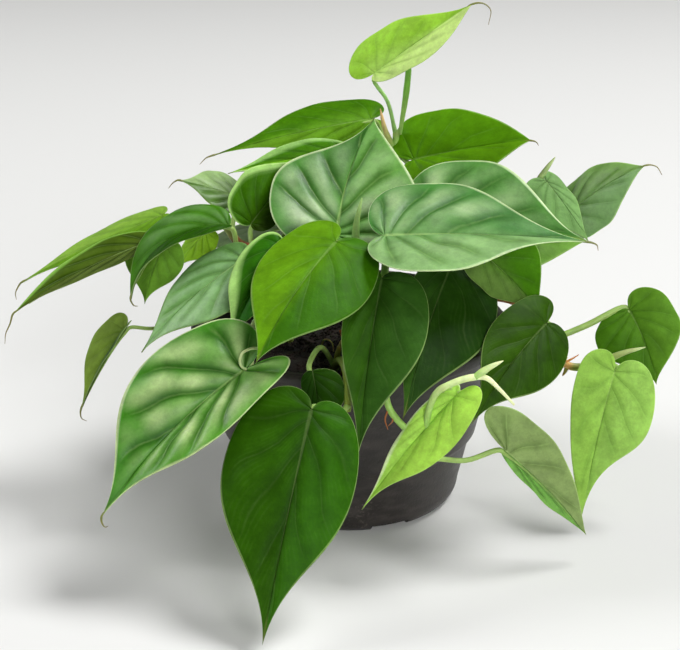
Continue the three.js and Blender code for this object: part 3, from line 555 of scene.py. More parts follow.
def blade_material(name, roughness, reflection, upper):
    """A leaf's skin: a waxy cuticle with sunken veins above, a duller face with raised veins
    below. Colour, partly painted light, comes from the piece's tint attribute, whose alpha is how
    strongly the veins and the painted shade in their troughs show. The veins come from its own
    map, whose first number runs along the margin and whose second runs across from margin to
    margin."""
    material, add = new_material(name)
    tint = add("Attribute", attribute_name="tint")
    alpha = tint.outputs["Alpha"]
    place = add("TexCoord").outputs["Object"]
    # Uneven green in patches about 9 mm across, flecks about 2 mm across, and leaf cells drawn
    # 0.6 mm wide so they show
    blotch, fleck, grain = (
        add("TexNoise", {"Vector": place, "Scale": 1 / (size * MM), "Detail": detail,
                         "Roughness": ragged})
        for size, detail, ragged in ((9, 3, 0.6), (2, 3, 0.65), (0.6, 2, 0.6)))
    veins = add("SeparateXYZ", [add("UVMap", uv_map="veins")])
    signed = add("Math", [veins.outputs["Y"], 2, -1], **TIMES_PLUS)
    across = add("Math", [signed], operation="ABSOLUTE")
    side = add("Math", [signed, 0], operation="GREATER_THAN")
    # Side veins lie at whole numbers of the phase, a little off between the halves
    wander = add("Math", [blotch, 0.12, -0.06], **TIMES_PLUS)
    shift = add("Math", [side, VEIN_STAGGER, wander], **TIMES_PLUS)
    phase = add("Math", [veins.outputs["X"], MAIN_VEINS, shift], **TIMES_PLUS)
    fine_phase = add("Math", [phase, FINE_VEINS], **TIMES)
    gap, fine_gap = (add("Math", [at, 0.5], operation="PINGPONG") for at in (phase, fine_phase))
    line = add("MapRange", [gap, 0, 0.06, 1, 0], **SOFT)
    trough = add("MapRange", [gap, 0, 0.32, 1, 0], **SOFT)
    fine_line = add("MapRange", [fine_gap, 0.02, 0.3, 1, 0], **SOFT)
    inner = add("MapRange", [across, 0.7, 0.97, 1, 0], **SOFT)
    midrib = add("MapRange", [across, 0.01, 0.04, 1, 0], **SOFT)
    margin = add("MapRange", [across, 0.972, 0.99], **SOFT)
    seen = add("MapRange", [blotch, 0.4, 0.62], **SOFT)
    side_vein, fine_vein, trough_for_shade_and_bump = (
        add("Math", pair, **TIMES) for pair in ((line, inner), (fine_line, seen), (trough, inner)))
    # Colour: painted shade in the trough along each side vein, paler on the vein, the midrib and
    # the thin, see-through margin
    light = add("Mix", {0: 0.5, 6: tint, 7: linear(0xCCEA94)}, **MIXED)
    painted_shade_tone = add("Mix", {0: 1, 6: tint, 7: linear(0xA4B890)}, **TINTED)
    vein_power = add("Math", [alpha, 0.22 if upper else 0.5], **TIMES)
    rib_power = add("Math", [alpha, 0.7, 0.05], **TIMES_PLUS)
    colour = tint
    for part, power, other in ((fine_vein, 0.02, light), (trough_for_shade_and_bump, alpha, painted_shade_tone),
                               (side_vein, vein_power, light), (midrib, rib_power, light),
                               (margin, 0.55, light)):
        share = add("Math", [part, power], **TIMES)
        colour = add("Mix", {0: share, 6: colour, 7: other}, **MIXED)
    speckle = add("Math", [grain, 0.3, blotch], **TIMES_PLUS)
    mottle = add("Math", [fleck, 0.5, speckle], **TIMES_PLUS)
    shade = add("MapRange", [mottle, 0.6, 1.2, 0.8, 1.2], **SOFT)
    colour = add("Mix", {0: 1, 6: colour, 7: add("CombineColor", [shade] * 3)}, **TINTED)
    gloss = add("MapRange", [grain, 0.2, 0.8, roughness - 0.06, roughness + 0.08], **SOFT)
    # Relief: veins sunk in the upper face stand proud of the lower one
    ridges = trough_for_shade_and_bump
    for part, height in ((side_vein, 0.5), (fine_vein, 0.05), (midrib, 1.5)):
        ridges = add("Math", [part, height, ridges], **TIMES_PLUS)
    quilt = add("Math", [fleck, 0.8], **TIMES)
    cells = add("Math", [grain, 0.3, quilt], **TIMES_PLUS)
    relief = add("Math", [ridges, -1 if upper else 1.5, cells], **TIMES_PLUS)
    bump = add("Bump", {"Height": relief, "Distance": 0.12 * MM, "Strength": 1})
    shader = add("BsdfPrincipled",
                 {"Base Color": colour, "Roughness": gloss, "Normal": bump, "IOR": 1.45,
                  "Specular IOR Level": reflection, "Subsurface Weight": 0.1,
                  "Subsurface Scale": 1 * MM, "Subsurface Radius": (1.0, 1.2, 0.35)})
    add("OutputMaterial", [shader])
    return material


def stalk_material():
    """Living stem: a smooth green skin with faint mottling and a soft shine. Its colour comes
    from the tint attribute, brown where the stem is old."""
    material, add = new_material("Green stem skin, smooth")
    tint = add("Attribute", attribute_name="tint")
    place = add("TexCoord").outputs["Object"]
    # Mottling about 3 mm across, and pores drawn 0.8 mm wide so they show
    blotch, pores = (
        add("TexNoise", {"Vector": place, "Scale": 1 / (size * MM), "Detail": 3,
                         "Roughness": 0.6})
        for size in (3, 0.8))
    shade = add("MapRange", [blotch, 0.3, 0.7, 0.88, 1.1], **SOFT)
    colour = add("Mix", {0: 1, 6: tint, 7: add("CombineColor", [shade] * 3)}, **TINTED)
    gloss = add("MapRange", [blotch, 0.3, 0.7, 0.35, 0.55], **SOFT)
    bump = add("Bump", {"Height": pores, "Distance": 0.1 * MM, "Strength": 1})
    shader = add("BsdfPrincipled",
                 {"Base Color": colour, "Roughness": gloss, "Normal": bump, "IOR": 1.43,
                  "Subsurface Weight": 0.1, "Subsurface Scale": 1 * MM})
    add("OutputMaterial", [shader])
    return material


def pot_material(plastic):
    """Injection-moulded polypropylene, satin: near-black brown with faint wear marks round the
    wall, small pits and a little dust, so it never reads as one flat tone."""
    material, add = new_material("Moulded polypropylene, dark satin")
    place = add("TexCoord").outputs["Object"]
    # Faint marks about 8 mm long and 3 mm high run round the wall, with dust in patches of
    # 12 mm and pits of 1.2 mm
    stretched = add("Mapping", {"Vector": place, "Scale": (1, 1, 2.5)})
    marks, dust, pits = (
        add("TexNoise", {"Vector": where, "Scale": 1 / (size * MM), "Detail": detail,
                         "Roughness": ragged})
        for where, size, detail, ragged in ((stretched, 8, 4, 0.5), (place, 12, 3, 0.6),
                                            (place, 1.2, 2, 0.6)))
    worn = add("MapRange", [marks, 0.35, 0.75, 0, 0.5], **SOFT)
    base = add("Mix", {0: worn, 6: plastic, 7: linear(0x4A4340)}, **MIXED)
    dust_patch = add("MapRange", [dust, 0.5, 0.75, 0, 0.5], **SOFT)
    dust_grain = add("MapRange", [pits, 0.5, 0.7], **SOFT)
    dusty = add("Math", [dust_patch, dust_grain], **TIMES)
    colour = add("Mix", {0: dusty, 6: base, 7: linear(0x6E655F)}, **MIXED)
    gloss = add("MapRange", [marks, 0.2, 0.8, 0.36, 0.5], **SOFT)
    height = add("Math", [marks, 0.8, pits], **TIMES_PLUS)
    bump = add("Bump", {"Height": height, "Distance": 0.1 * MM, "Strength": 1})
    shader = add("BsdfPrincipled",
                 {"Base Color": colour, "Roughness": gloss, "Normal": bump, "IOR": 1.49,
                  "Specular IOR Level": 0.5})
    add("OutputMaterial", [shader])
    return material


def soil_material(earth):
    """Damp peat and bark: dark, crumbly and dull, with paler fibres."""
    material, add = new_material("Damp potting mix, crumbly")
    place = add("TexCoord").outputs["Object"]
    # Grains about 1.2 mm across in clumps of 6 mm
    grain, clump = (
        add("TexNoise", {"Vector": place, "Scale": 1 / (size * MM), "Detail": 3,
                         "Roughness": 0.6})
        for size in (1.2, 6))
    peat = add("MapRange", [clump, 0.35, 0.7], **SOFT)
    base = add("Mix", {0: peat, 6: earth, 7: linear(0x2A1C14)}, **MIXED)
    fibre = add("MapRange", [grain, 0.62, 0.78, 0, 0.6], **SOFT)
    colour = add("Mix", {0: fibre, 6: base, 7: linear(0x5C4430)}, **MIXED)
    bump = add("Bump", {"Height": grain, "Distance": 0.6 * MM, "Strength": 1})
    shader = add("BsdfPrincipled", {"Base Color": colour, "Roughness": 0.9, "Normal": bump})
    add("OutputMaterial", [shader])
    return material


def floor_material(paper):
    """A plain matt paper sweep, very faintly uneven in patches of 400 mm."""
    material, add = new_material("Studio paper, matt")
    place = add("TexCoord").outputs["Object"]
    cloud = add("TexNoise", {"Vector": place, "Scale": 1 / (400 * MM)})
    tone = add("MapRange", [cloud, 0.3, 0.7, 0, 0.06], **SOFT)
    colour = add("Mix", {0: tone, 6: paper, 7: linear(0xE8E8E6)}, **MIXED)
    shader = add("BsdfPrincipled", {"Base Color": colour, "Roughness": 0.9})
    add("OutputMaterial", [shader])
    return material


# Pieces


def new_piece(name, mesh, nodes=()):
    piece = put(name, mesh)
    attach(piece, "root")
    if nodes:
        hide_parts(*nodes)
    return piece


def take_mesh(made, name):
    """Ends the editing of a mesh."""
    mesh = bpy.data.meshes.new(name)
    made.to_mesh(mesh)
    made.free()
    return mesh


def smooth(mesh):
    mesh.polygons.foreach_set("use_smooth", [True] * len(mesh.polygons))
    mesh.update()


def set_tint(mesh, colours):
    """Writes one colour a vertex. Alpha carries how strongly the veins show."""
    layer = mesh.color_attributes.new("tint", "FLOAT_COLOR", "POINT")
    layer.data.foreach_set("color", np.asarray(colours, dtype=np.float32).ravel())


def join_meshes(name, meshes, materials):
    """One mesh from several that share the materials list and the tint and veins layers."""
    made = bmesh.new()
    for mesh in meshes:
        made.from_mesh(mesh)
        bpy.data.meshes.remove(mesh)
    joined = take_mesh(made, name)
    for material in materials:
        joined.materials.append(material)
    smooth(joined)
    return joined


# Paths and tubes


def smooth_path(points, count):
    """Points along a centripetal Catmull-Rom curve, the one that the part's tubes follow."""
    known = [np.array(p, dtype=float) for p in points]
    known = [2 * known[0] - known[1], *known, 2 * known[-1] - known[-2]]
    spans = len(points) - 1
    out = []
    for i in range(count + 1):
        at = i / count * spans
        k = min(int(at), spans - 1)
        t = at - k
        a, b, c, d = known[k:k + 4]
        ab, bc, cd = (np.linalg.norm(q - p) ** 0.5 for p, q in ((a, b), (b, c), (c, d)))
        t1 = ((b - a) / ab - (c - a) / (ab + bc) + (c - b) / bc) * bc
        t2 = ((c - b) / bc - (d - b) / (bc + cd) + (d - c) / cd) * bc
        out.append(b + t1 * t + (3 * (c - b) - 2 * t1 - t2) * t * t
                   + (2 * (b - c) + t1 + t2) * t ** 3)
    return np.array(out)


def tube_tree():
    """A round tube along a curve, as thick as the curve's own radius."""
    tree, add, given, keys = new_tree("Tube along a curve", Sides="Int", Skin="Material")
    section = add("GeometryNodeCurvePrimitiveCircle",
                  {"Resolution": given["Sides"], "Radius": 1})
    swept = add("GeometryNodeCurveToMesh",
                {"Curve": given["Geometry"], "Profile Curve": section,
                 "Scale": add("GeometryNodeInputRadius"), "Fill Caps": True})
    close_tree(add, swept, given["Skin"])
    return tree, keys


def tube_mesh(name, places, radii, colours, sides, skin, look=0):
    """A tube through the places with a radius and colour at each, which gets a look, the number
    of its material in the joined mesh."""
    curve = bpy.data.curves.new(name, "CURVE")
    curve.dimensions = "3D"
    spline = curve.splines.new("POLY")
    spline.points.add(len(places) - 1)
    for point, place, radius in zip(spline.points, places, radii):
        point.co = (*(place * MM), 1.0)
        point.radius = radius * MM
    mesh = run_tree("Tube", tube_tree, curve, Sides=sides, Skin=skin)
    bpy.data.curves.remove(curve)
    mesh.materials.clear()
    mesh.polygons.foreach_set("material_index", [look] * len(mesh.polygons))
    where = np.empty(len(mesh.vertices) * 3)
    mesh.vertices.foreach_get("co", where)
    where = where.reshape(-1, 3) / MM
    nearest = np.argmin(((where[:, None] - places[None]) ** 2).sum(axis=2), axis=1)
    set_tint(mesh, np.asarray(colours)[nearest])
    mesh.uv_layers.new(name="veins")
    return mesh


# Blade surface, the same formula as in the part's source


def rib_frame(leaf, s):
    """The way the midrib runs at share s of its length, the level way across it, and up."""
    bearing = (leaf["bearing"] + leaf["sway"] * s) * DEGREE
    dip = (leaf["dip"] + leaf["arch"] * s) * DEGREE
    ahead = np.stack([np.cos(bearing) * np.cos(dip), np.sin(bearing) * np.cos(dip),
                      -np.sin(dip)], axis=-1)
    across = np.stack([-np.sin(bearing), np.cos(bearing), np.zeros_like(bearing)], axis=-1)
    return ahead, across, np.cross(ahead, across)


def rib_point(leaf, u):
    s = np.maximum(u, 0)
    steps = (np.arange(RIB_POINTS) + 0.5) / RIB_POINTS
    ahead = rib_frame(leaf, s[..., None] * steps)[0].sum(axis=-2)
    point = np.array(leaf["base"]) + ahead * (leaf["length"] * s / RIB_POINTS)[..., None]
    back = rib_frame(leaf, np.zeros_like(u))[0] * (np.minimum(u, 0) * leaf["length"])[..., None]
    return point + back


def bezier(a, b, c, d, t):
    r = 1 - t
    return r ** 3 * a + 3 * r * r * t * b + 3 * r * t * t * c + t ** 3 * d


def outline(part, p):
    """A half's margin from the attachment, round its lobe and on to the tip, at share p of the
    way: share of the blade's length, and share of the half's width."""
    back = part["lobe"] / LOBE_REACH
    widest = part["widest"]
    shoulder = widest + SHOULDER * (1 - widest)
    t = p / OUTLINE_TURN
    q = (p - OUTLINE_TURN) / (1 - OUTLINE_TURN)
    first = p < OUTLINE_TURN
    u = np.where(first, bezier(0, -back, -0.9 * back, widest, t),
                 bezier(widest, shoulder, 1 - part["taper"], 1, q))
    v = np.where(first, bezier(0, 0.08, 1.02, 1, t), bezier(1, 1, 0.1, 0, q))
    return u, v


def cross_section(part, share):
    curl = part["curl"] * DEGREE
    start = part["rise"] * DEGREE - curl / 2
    turned = start + curl * share
    scale = part["width"] * (curl / 2 / math.sin(curl / 2)) / curl
    return scale * (np.sin(turned) - math.sin(start)), scale * (math.cos(start) - np.cos(turned))


def blade_point(leaf, side, u, v):
    part = leaf["left"] if side > 0 else leaf["right"]
    _, across, up = rib_frame(leaf, np.maximum(u, 0))
    out, rise = cross_section(part, v)
    phase = u * RIPPLES + (0.2 if side > 0 else 0.65)
    ripple = leaf["wave"] * v * v * np.sin(phase * 2 * math.pi)
    droop = np.where(u < 0, leaf["ears"] * u * u * leaf["length"], 0)
    point = rib_point(leaf, u) + across * (side * out)[..., None]
    return point + up * (rise + ripple - droop)[..., None]


def patches(points, size):
    """Smooth noise at each point of a grid, in patches of a size."""
    return np.array([[noise.noise(Vector(point) / size) for point in row] for row in points])


def blade_grid(leaf, side):
    """Points, lift, map places and swelling of one half, in rows that follow its side veins."""
    p = np.linspace(0, 1, BLADE_ROWS + 1)[:, None]
    even = np.linspace(0, 1, BLADE_COLUMNS + 1)
    k = (0.5 * even + 0.25 * (1 - np.cos(math.pi * even)))[None, :]
    margin_u, margin_v = outline(leaf["left" if side > 0 else "right"], p)
    foot = p ** VEIN_FOOT_POWER
    u = foot + (margin_u - foot) * k ** VEIN_SWEEP
    v = margin_v * (1 - (1 - k) ** VEIN_BELLY)
    points = blade_point(leaf, side, u, v)
    # Side veins wander a little, and some bands between them swell more than others. All of it
    # fades out at the midrib, the attachment and the tip
    uneven = patches(points, BAND_DRIFT)
    base_fade = np.clip(p * 6, 0, 1)
    calm = np.clip(k * 3, 0, 1) * base_fade * np.clip((1 - p) * 4, 0, 1)
    drifted = p + DRIFT * uneven * calm / MAIN_VEINS
    phase = drifted * MAIN_VEINS + (VEIN_STAGGER if side > 0 else 0.0)
    between = np.abs(np.sin(math.pi * phase)) ** 0.8
    room = np.sin(math.pi * np.clip(k, 0, 1)) ** 0.7 * np.clip(margin_v * 1.6, 0, 1)
    height = leaf["pleat"] * PLEAT_HEIGHT * np.clip(1 + 1.2 * uneven, 0.3, 1.7)
    swell = height * (between - 0.6) * room * base_fade
    groove = -MIDRIB_GROOVE * np.exp(-(k / GROOVE_WIDTH) ** 2) * np.clip(p * 8, 0, 1)
    return points, swell + groove, drifted, np.broadcast_to(k, u.shape), between ** 1.5 * room


def blade_colour(leaf, side, p, k, band, points):
    """One half's colour, partly painted light: lighter or darker as light falls on the half, with
    a painted sheen between its side veins and painted shade along the veins near the midrib, pale
    where the stalk joins and drawn out to the tip's colour."""
    # Each half's colour is partly the leaf's own green and partly painted light, lighter or darker
    # as light falls on that half
    left, right = (np.array(linear(code)) for code in leaf["half_tints_with_painted_light"])
    own = left if side > 0 else right
    colour = blend_colours((left + right) / 2, own, np.clip(k * 2, 0, 1))
    # Painted sheen: a pale, silvery highlight painted between the side veins, in patches
    silver = leaf["silver"][0 if side > 0 else 1]
    sheen = np.clip(silver * 0.5 * band * (0.75 + patches(points, PAINTED_SHEEN_PATCH)), 0, 0.9)
    colour = blend_colours(colour, linear(leaf["sheen"]), sheen)
    # Painted shade: darker along the sunken veins near the midrib and the attachment
    colour = colour * (1 - leaf["streak"] * (1 - band) * np.exp(-1.5 * k))[..., None]
    for which, start, code in leaf["rims"]:
        if which == side:
            share = np.clip((k - start) / (1 - start) * 2, 0, 1)
            colour = blend_colours(colour, linear(code), share)
    joint = np.exp(-((p / 0.05) ** 2)) * np.exp(-((k / 0.5) ** 2)) * 0.5
    colour = blend_colours(colour, linear(JOINT_TONE), joint)
    end = np.clip((p - 0.97) / 0.03, 0, 1)
    colour = blend_colours(colour, linear(leaf["tip"]), end)
    colour[..., 3] = leaf["vein"]
    return colour


def corner_key(i, j, side):
    """Names a corner of a half's grid. The halves share their midrib and both ends of it."""
    return (i, 0, 0) if j == 0 or i in (0, BLADE_ROWS) else (i, j, side)


def blade_mesh(leaf, settings):
    """Both faces of the blade and its thin edge, as one closed mesh."""
    places, lifts, maps, colours, cells = [], [], [], [], []
    index = {}
    for side in (1, -1):
        points, lift, p, k, band = blade_grid(leaf, side)
        colour = blade_colour(leaf, side, p, k, band, points)
        for i in range(BLADE_ROWS + 1):
            for j in range(BLADE_COLUMNS + 1):
                key = corner_key(i, j, side)
                if key not in index:
                    index[key] = len(places)
                    at = key[:2]
                    places.append(points[at])
                    lifts.append(lift[at])
                    maps.append((p[at], 0.5 + 0.5 * key[2] * k[at]))
                    colours.append(colour[at])
        for i in range(BLADE_ROWS):
            for j in range(BLADE_COLUMNS):
                corners = [index[corner_key(i + di, j + dj, side)]
                           for di, dj in ((0, 0), (1, 0), (1, 1), (0, 1))]
                corners = list(dict.fromkeys(corners))
                if len(corners) > 2:
                    cells.append(corners if side > 0 else corners[::-1])
    places = np.array(places)
    normals = np.zeros_like(places)
    for cell in cells:
        a, b, c = (places[cell[n]] for n in (0, 1, 2))
        normal = np.cross(b - a, c - a)
        if len(cell) == 4:
            normal = normal + np.cross(c - a, places[cell[3]] - a)
        for n in cell:
            normals[n] += normal
    normals /= np.maximum(np.linalg.norm(normals, axis=1), 1e-9)[:, None]
    places = places + normals * (np.array(lifts) * settings.pleats)[:, None]
    maps = np.array(maps)
    across = np.abs(maps[:, 1] * 2 - 1)
    thick = settings.thickness / MM * (1 - EDGE_THINNER * across ** 3) / 2
    count = len(places)
    upper = places + normals * thick[:, None]
    lower = places - normals * thick[:, None]
    rim = [index[corner_key(i, BLADE_COLUMNS, -1)] for i in range(BLADE_ROWS + 1)]
    rim += [index[corner_key(i, BLADE_COLUMNS, 1)] for i in range(BLADE_ROWS - 1, 0, -1)]
    faces = cells + [[count + n for n in cell[::-1]] for cell in cells]
    faces += [[a, count + a, count + b, b] for a, b in zip(rim, rim[1:] + rim[:1])]
    mesh = bpy.data.meshes.new(leaf["name"])
    mesh.from_pydata(np.vstack([upper, lower]) * MM, [], faces)
    looks = [0] * len(cells) + [1] * len(cells) + [0] * len(rim)
    mesh.polygons.foreach_set("material_index", looks)
    under = np.array([linear(leaf["under"][0 if y > 0.5 else 1]) for _, y in maps])
    below = np.array(colours) * 0.35 + under * 0.65
    below[:, 3] = leaf["vein"]
    set_tint(mesh, np.vstack([colours, below]))
    layer = mesh.uv_layers.new(name="veins")
    corner = np.empty(len(mesh.loops), dtype=np.int32)
    mesh.loops.foreach_get("vertex_index", corner)
    layer.data.foreach_set("uv", maps[corner % count].astype(np.float32).ravel())
    return mesh


def leaf_mesh(leaf, settings, sides, materials):
    """The blade, its stalk and its drawn-out drip tip in one mesh."""
    name, skin = leaf["name"], materials[2]
    parts = [blade_mesh(leaf, settings)]
    ahead, _, up = (v[0] for v in rib_frame(leaf, np.array([0.0])))
    base = np.array(leaf["base"], dtype=float)
    under = base - ahead * UNDER_BLADE[0] - up * UNDER_BLADE[1]
    shares, drops, widths = (np.array(column) for column in zip(*MIDRIB_BELOW))
    lower = rib_point(leaf, shares) - rib_frame(leaf, shares)[2] * drops[:, None]
    knots = [leaf["start"], *leaf["via"], under, *lower]
    places = smooth_path(knots, STALK_STEPS * (len(knots) - 1))
    widths = [1.0] * (len(leaf["via"]) + 2) + list(widths)
    along = np.linspace(0, 1, len(places))
    radii = leaf["petiole"] * np.interp(along * (len(knots) - 1), range(len(knots)), widths)
    radii = radii * (1 + FOOT_SWELL * np.exp(-((along / FOOT_REACH) ** 2)))
    pale = np.array(linear(leaf["stalk"]))
    green = np.array(linear(leaf["half_tints_with_painted_light"][0])) * 0.4 + pale * 0.6
    tone = blend_colours(pale, green, along)
    parts.append(tube_mesh(name, places, radii, tone, sides, skin, 2))
    if leaf["hook"]:
        one = np.array([1.0])
        tip, ahead = rib_point(leaf, one)[0], rib_frame(leaf, one)[0][0]
        path = [tip - ahead * 3, tip, *(tip + np.array(step) for step in leaf["hook"])]
        places = smooth_path(path, DRIP_STEPS)
        along = np.linspace(0, 1, len(places))
        tone = blend_colours(linear(leaf["tip"]), linear(DRY_TIP), along)
        radii = np.interp(along, *DRIP_SHAPE)
        parts.append(tube_mesh(name, places, radii, tone, DRIP_SIDES, skin, 2))
    if leaf["loop"]:
        places = smooth_path([base + np.array(step) for step in leaf["loop"]],
                             LOOP_STEPS)
        tone = np.tile(pale, (len(places), 1))
        radii = np.full(len(places), leaf["petiole"] * LOOP_SHARE)
        parts.append(tube_mesh(name, places, radii, tone, LOOP_SIDES, skin, 2))
    return join_meshes(name, parts, materials)


# Stems


def stem_mesh(stem, sides, skin):
    """A stem with a ring at each node, its dry stretches and its spikes in one mesh."""
    name = stem["name"]
    count = STEM_STEPS * len(stem["path"])
    places = smooth_path(stem["path"], count)
    radii = np.full(count + 1, float(stem["radius"]))
    along = np.linspace(0, 1, count + 1)
    colours = blend_colours(linear(stem["colour"]), linear(stem.get("young", stem["colour"])),
                            np.clip(along * 3 - 1.6, 0, 1))
    for middle, reach, code in stem.get("dry", []):
        gaps = np.linalg.norm(places - np.array(middle), axis=1)
        colours = blend_colours(colours, linear(code), np.exp(-((gaps / reach) ** 4)))
    for carried in LEAVES + [ROLLED_LEAF]:
        gaps = np.linalg.norm(places - np.array(carried["start"]), axis=1)
        if gaps.min() < NODE_NEAR:
            ring = np.exp(-((gaps / NODE_WIDTH) ** 2))
            radii += NODE_SWELL * ring
            colours = blend_colours(colours, linear(RING_TONE), NODE_BROWN * ring)
    radii *= np.interp(along, [0, STEM_TAPERS_FROM, 1], [1, 1, stem["tip"]])
    parts = [tube_mesh(name, places, radii, colours, sides, skin)]
    for start, end, radius, colour in stem["spikes"]:
        a, b = np.array(start, dtype=float), np.array(end, dtype=float)
        bend = np.cross(b - a, (0, 1, 0)) * 0.04
        path = smooth_path([a, a + (b - a) * 0.5 + bend, b], SPIKE_STEPS)
        along = np.linspace(0, 1, len(path))
        tone = blend_colours(linear(colour), linear(stem["colour"]), 1 - along)
        thin = radius * np.interp(along, *SPIKE_SHAPE)
        parts.append(tube_mesh(name, path, thin, tone, SPIKE_SIDES, skin))
    return join_meshes(name, parts, [skin])


def scraps_mesh(skin):
    parts = []
    for radius, colour, path in SCRAPS:
        path = smooth_path(path, SCRAP_STEPS)
        thin = radius * np.interp(np.linspace(0, 1, len(path)), *SCRAP_SHAPE)
        tone = np.tile(linear(colour), (len(path), 1))
        parts.append(tube_mesh("scrap", path, thin, tone, SCRAP_SIDES, skin))
    return join_meshes("dry_scraps", parts, [skin])


# Turned shapes


def wall_radius(z):
    slope = (POT_TOP_RADIUS - RIM_LIP - POT_BASE_RADIUS - STEP_IN) / POT_HEIGHT
    plain = POT_BASE_RADIUS + slope * z
    return plain + STEP_IN if z > STEP_HEIGHT else plain


def turned_mesh(name, profile, sides):
    """A closed solid turned about Z from a profile of (radius, height) pairs, which runs up the
    solid's outside, so that faces point outwards, and ends on the axis or where it began. A pair
    on the axis is one corner, and faces come in the same order each run."""
    places, rings, faces = [], {}, []
    for r, z in profile:
        if (r, z) not in rings:
            count = sides if r else 1
            rings[r, z] = [len(places) + n % count for n in range(sides + 1)]
            places += [(r * MM * math.cos(turn), r * MM * math.sin(turn), z * MM)
                       for turn in (2 * math.pi * n / sides for n in range(count))]
    for pair in zip(profile, profile[1:]):
        a, b = (rings[corner] for corner in pair)
        faces += [list(dict.fromkeys((a[n], a[n + 1], b[n + 1], b[n]))) for n in range(sides)]
    mesh = bpy.data.meshes.new(name)
    mesh.from_pydata(places, [], faces)
    return mesh


def pot_profile():
    """The pot's section: outside from the middle of its floor to the rim, then back inside."""
    corner = []
    for i in range(CORNER_STEPS + 1):
        turn = i / CORNER_STEPS * 90 * DEGREE
        inset = BASE_CORNER * CORNER_SQUASH * (1 - math.sin(turn))
        corner.append((wall_radius(BASE_CORNER) - inset, BASE_CORNER * (1 - math.cos(turn))))
    rim_low = POT_HEIGHT - RIM_DEPTH
    wall = [(wall_radius(z) + out, z) for z, out in (
        (STEP_LOW - BEND, 0), (STEP_LOW, 0.15), (STEP_HIGH, -0.15), (STEP_HIGH + BEND, 0),
        (rim_low - BEND, 0), (rim_low, 0.2))]
    rim = [(POT_TOP_RADIUS - inset, z) for inset, z in (
        (0.5, rim_low + 0.5), (0.1, rim_low + 1.1), (0, POT_HEIGHT - 1.2),
        (0.25, POT_HEIGHT - 0.4), (0.8, POT_HEIGHT))]
    inside = [(wall_radius(at) - WALL, z) for at, z in (
        (POT_HEIGHT, POT_HEIGHT - 0.5), (STEP_HIGH, STEP_HIGH), (STEP_LOW, STEP_LOW),
        (BASE_CORNER, BASE_CORNER + 2))]
    return [(0, 0), *corner, *wall, *rim, (wall_radius(POT_HEIGHT) - WALL + 0.5, POT_HEIGHT),
            *inside, (wall_radius(BASE_CORNER) - BASE_CORNER, FLOOR_HEIGHT + WALL),
            (0, FLOOR_HEIGHT + WALL)]


def box_mesh(name, size, middle, turn):
    made = bmesh.new()
    bmesh.ops.create_cube(made, size=1.0)
    for vert in made.verts:
        x, y, z = (vert.co[n] * size[n] + middle[n] for n in range(3))
        vert.co = Vector((x * math.cos(turn) - y * math.sin(turn),
                          x * math.sin(turn) + y * math.cos(turn), z)) * MM
    return take_mesh(made, name)


def pot_cutters():
    """What is cut from the pot: the hollow underside, the foot notches and the drain holes."""
    low, high = -1, FLOOR_HEIGHT - 0.5
    ring = [(CENTRE_DISC_RADIUS, low), (FOOT_RING_RADIUS, low), (FOOT_RING_RADIUS, high),
            (CENTRE_DISC_RADIUS, high), (CENTRE_DISC_RADIUS, low)]
    cutters = [turned_mesh("recess", ring, 96)]
    for i in range(FOOT_NOTCHES):
        turn = (FIRST_NOTCH + i * 360 / FOOT_NOTCHES) * DEGREE
        middle = (FOOT_RING_RADIUS + NOTCH_REACH / 2 - 3, 0, 0)
        size = (NOTCH_REACH, NOTCH_WIDTH, 2 * NOTCH_HEIGHT)
        cutters.append(box_mesh("notch", size, middle, turn))
    for i in range(DRAIN_HOLES):
        turn = i / DRAIN_HOLES * 2 * math.pi
        made = bmesh.new()
        bmesh.ops.create_cone(made, cap_ends=True, segments=28, radius1=DRAIN_RADIUS * MM,
                              radius2=DRAIN_RADIUS * MM, depth=20 * MM)
        bmesh.ops.translate(made, verts=made.verts, vec=(DRAIN_CIRCLE * MM * math.cos(turn),
                                                         DRAIN_CIRCLE * MM * math.sin(turn), 0))
        cutters.append(take_mesh(made, "drain"))
    return cutters


def cut_mesh(mesh, cutters):
    """Takes the cutters away from a mesh, one exact Boolean after the other."""
    body = put("cut", mesh)
    tools = []
    for cutter in cutters:
        tool = put("tool", cutter)
        tools.append(tool)
        modifier = body.modifiers.new("Cut", "BOOLEAN")
        modifier.operation = "DIFFERENCE"
        modifier.solver = "EXACT"
        modifier.object = tool
    done = bake(body)
    for tool in tools:
        bpy.data.objects.remove(tool)
    for used in [mesh, *cutters]:
        bpy.data.meshes.remove(used)
    return done


# Soil


def soil_height(x, y):
    wave = SOIL_BUMP * math.sin(x / SOIL_WAVES[0] + 1) * math.cos(y / SOIL_WAVES[1])
    rough = noise.fractal(Vector((x, y, 0)) / SOIL_LUMP, 1.0, 2.0, 4)
    return SOIL_TOP + wave + SOIL_ROUGH * rough - SOIL_SETTLED


def soil_mesh():
    top = wall_radius(SOIL_TOP) - WALL - SOIL_GAP - 0.5
    under = FLOOR_HEIGHT + WALL + SOIL_GAP
    waist = wall_radius(STEP_LOW) - WALL - SOIL_GAP - 0.3
    profile = [
        (0, under),
        (wall_radius(BASE_CORNER) - BASE_CORNER - 1, under),
        (wall_radius(BASE_CORNER) - WALL - SOIL_GAP - 0.6, BASE_CORNER + 3),
        (waist, STEP_LOW),
        (waist, STEP_HIGH + 0.5),
        (top, SOIL_TOP - 1.5),
    ]
    profile += [(top * (SOIL_RINGS - i) / SOIL_RINGS, SOIL_TOP) for i in range(SOIL_RINGS + 1)]
    mesh = turned_mesh("soil", profile, SOIL_SIDES)
    for vert in mesh.vertices:
        if vert.co.z > (SOIL_TOP - 0.5) * MM:
            vert.co.z = soil_height(vert.co.x / MM, vert.co.y / MM) * MM
    smooth(mesh)
    return mesh


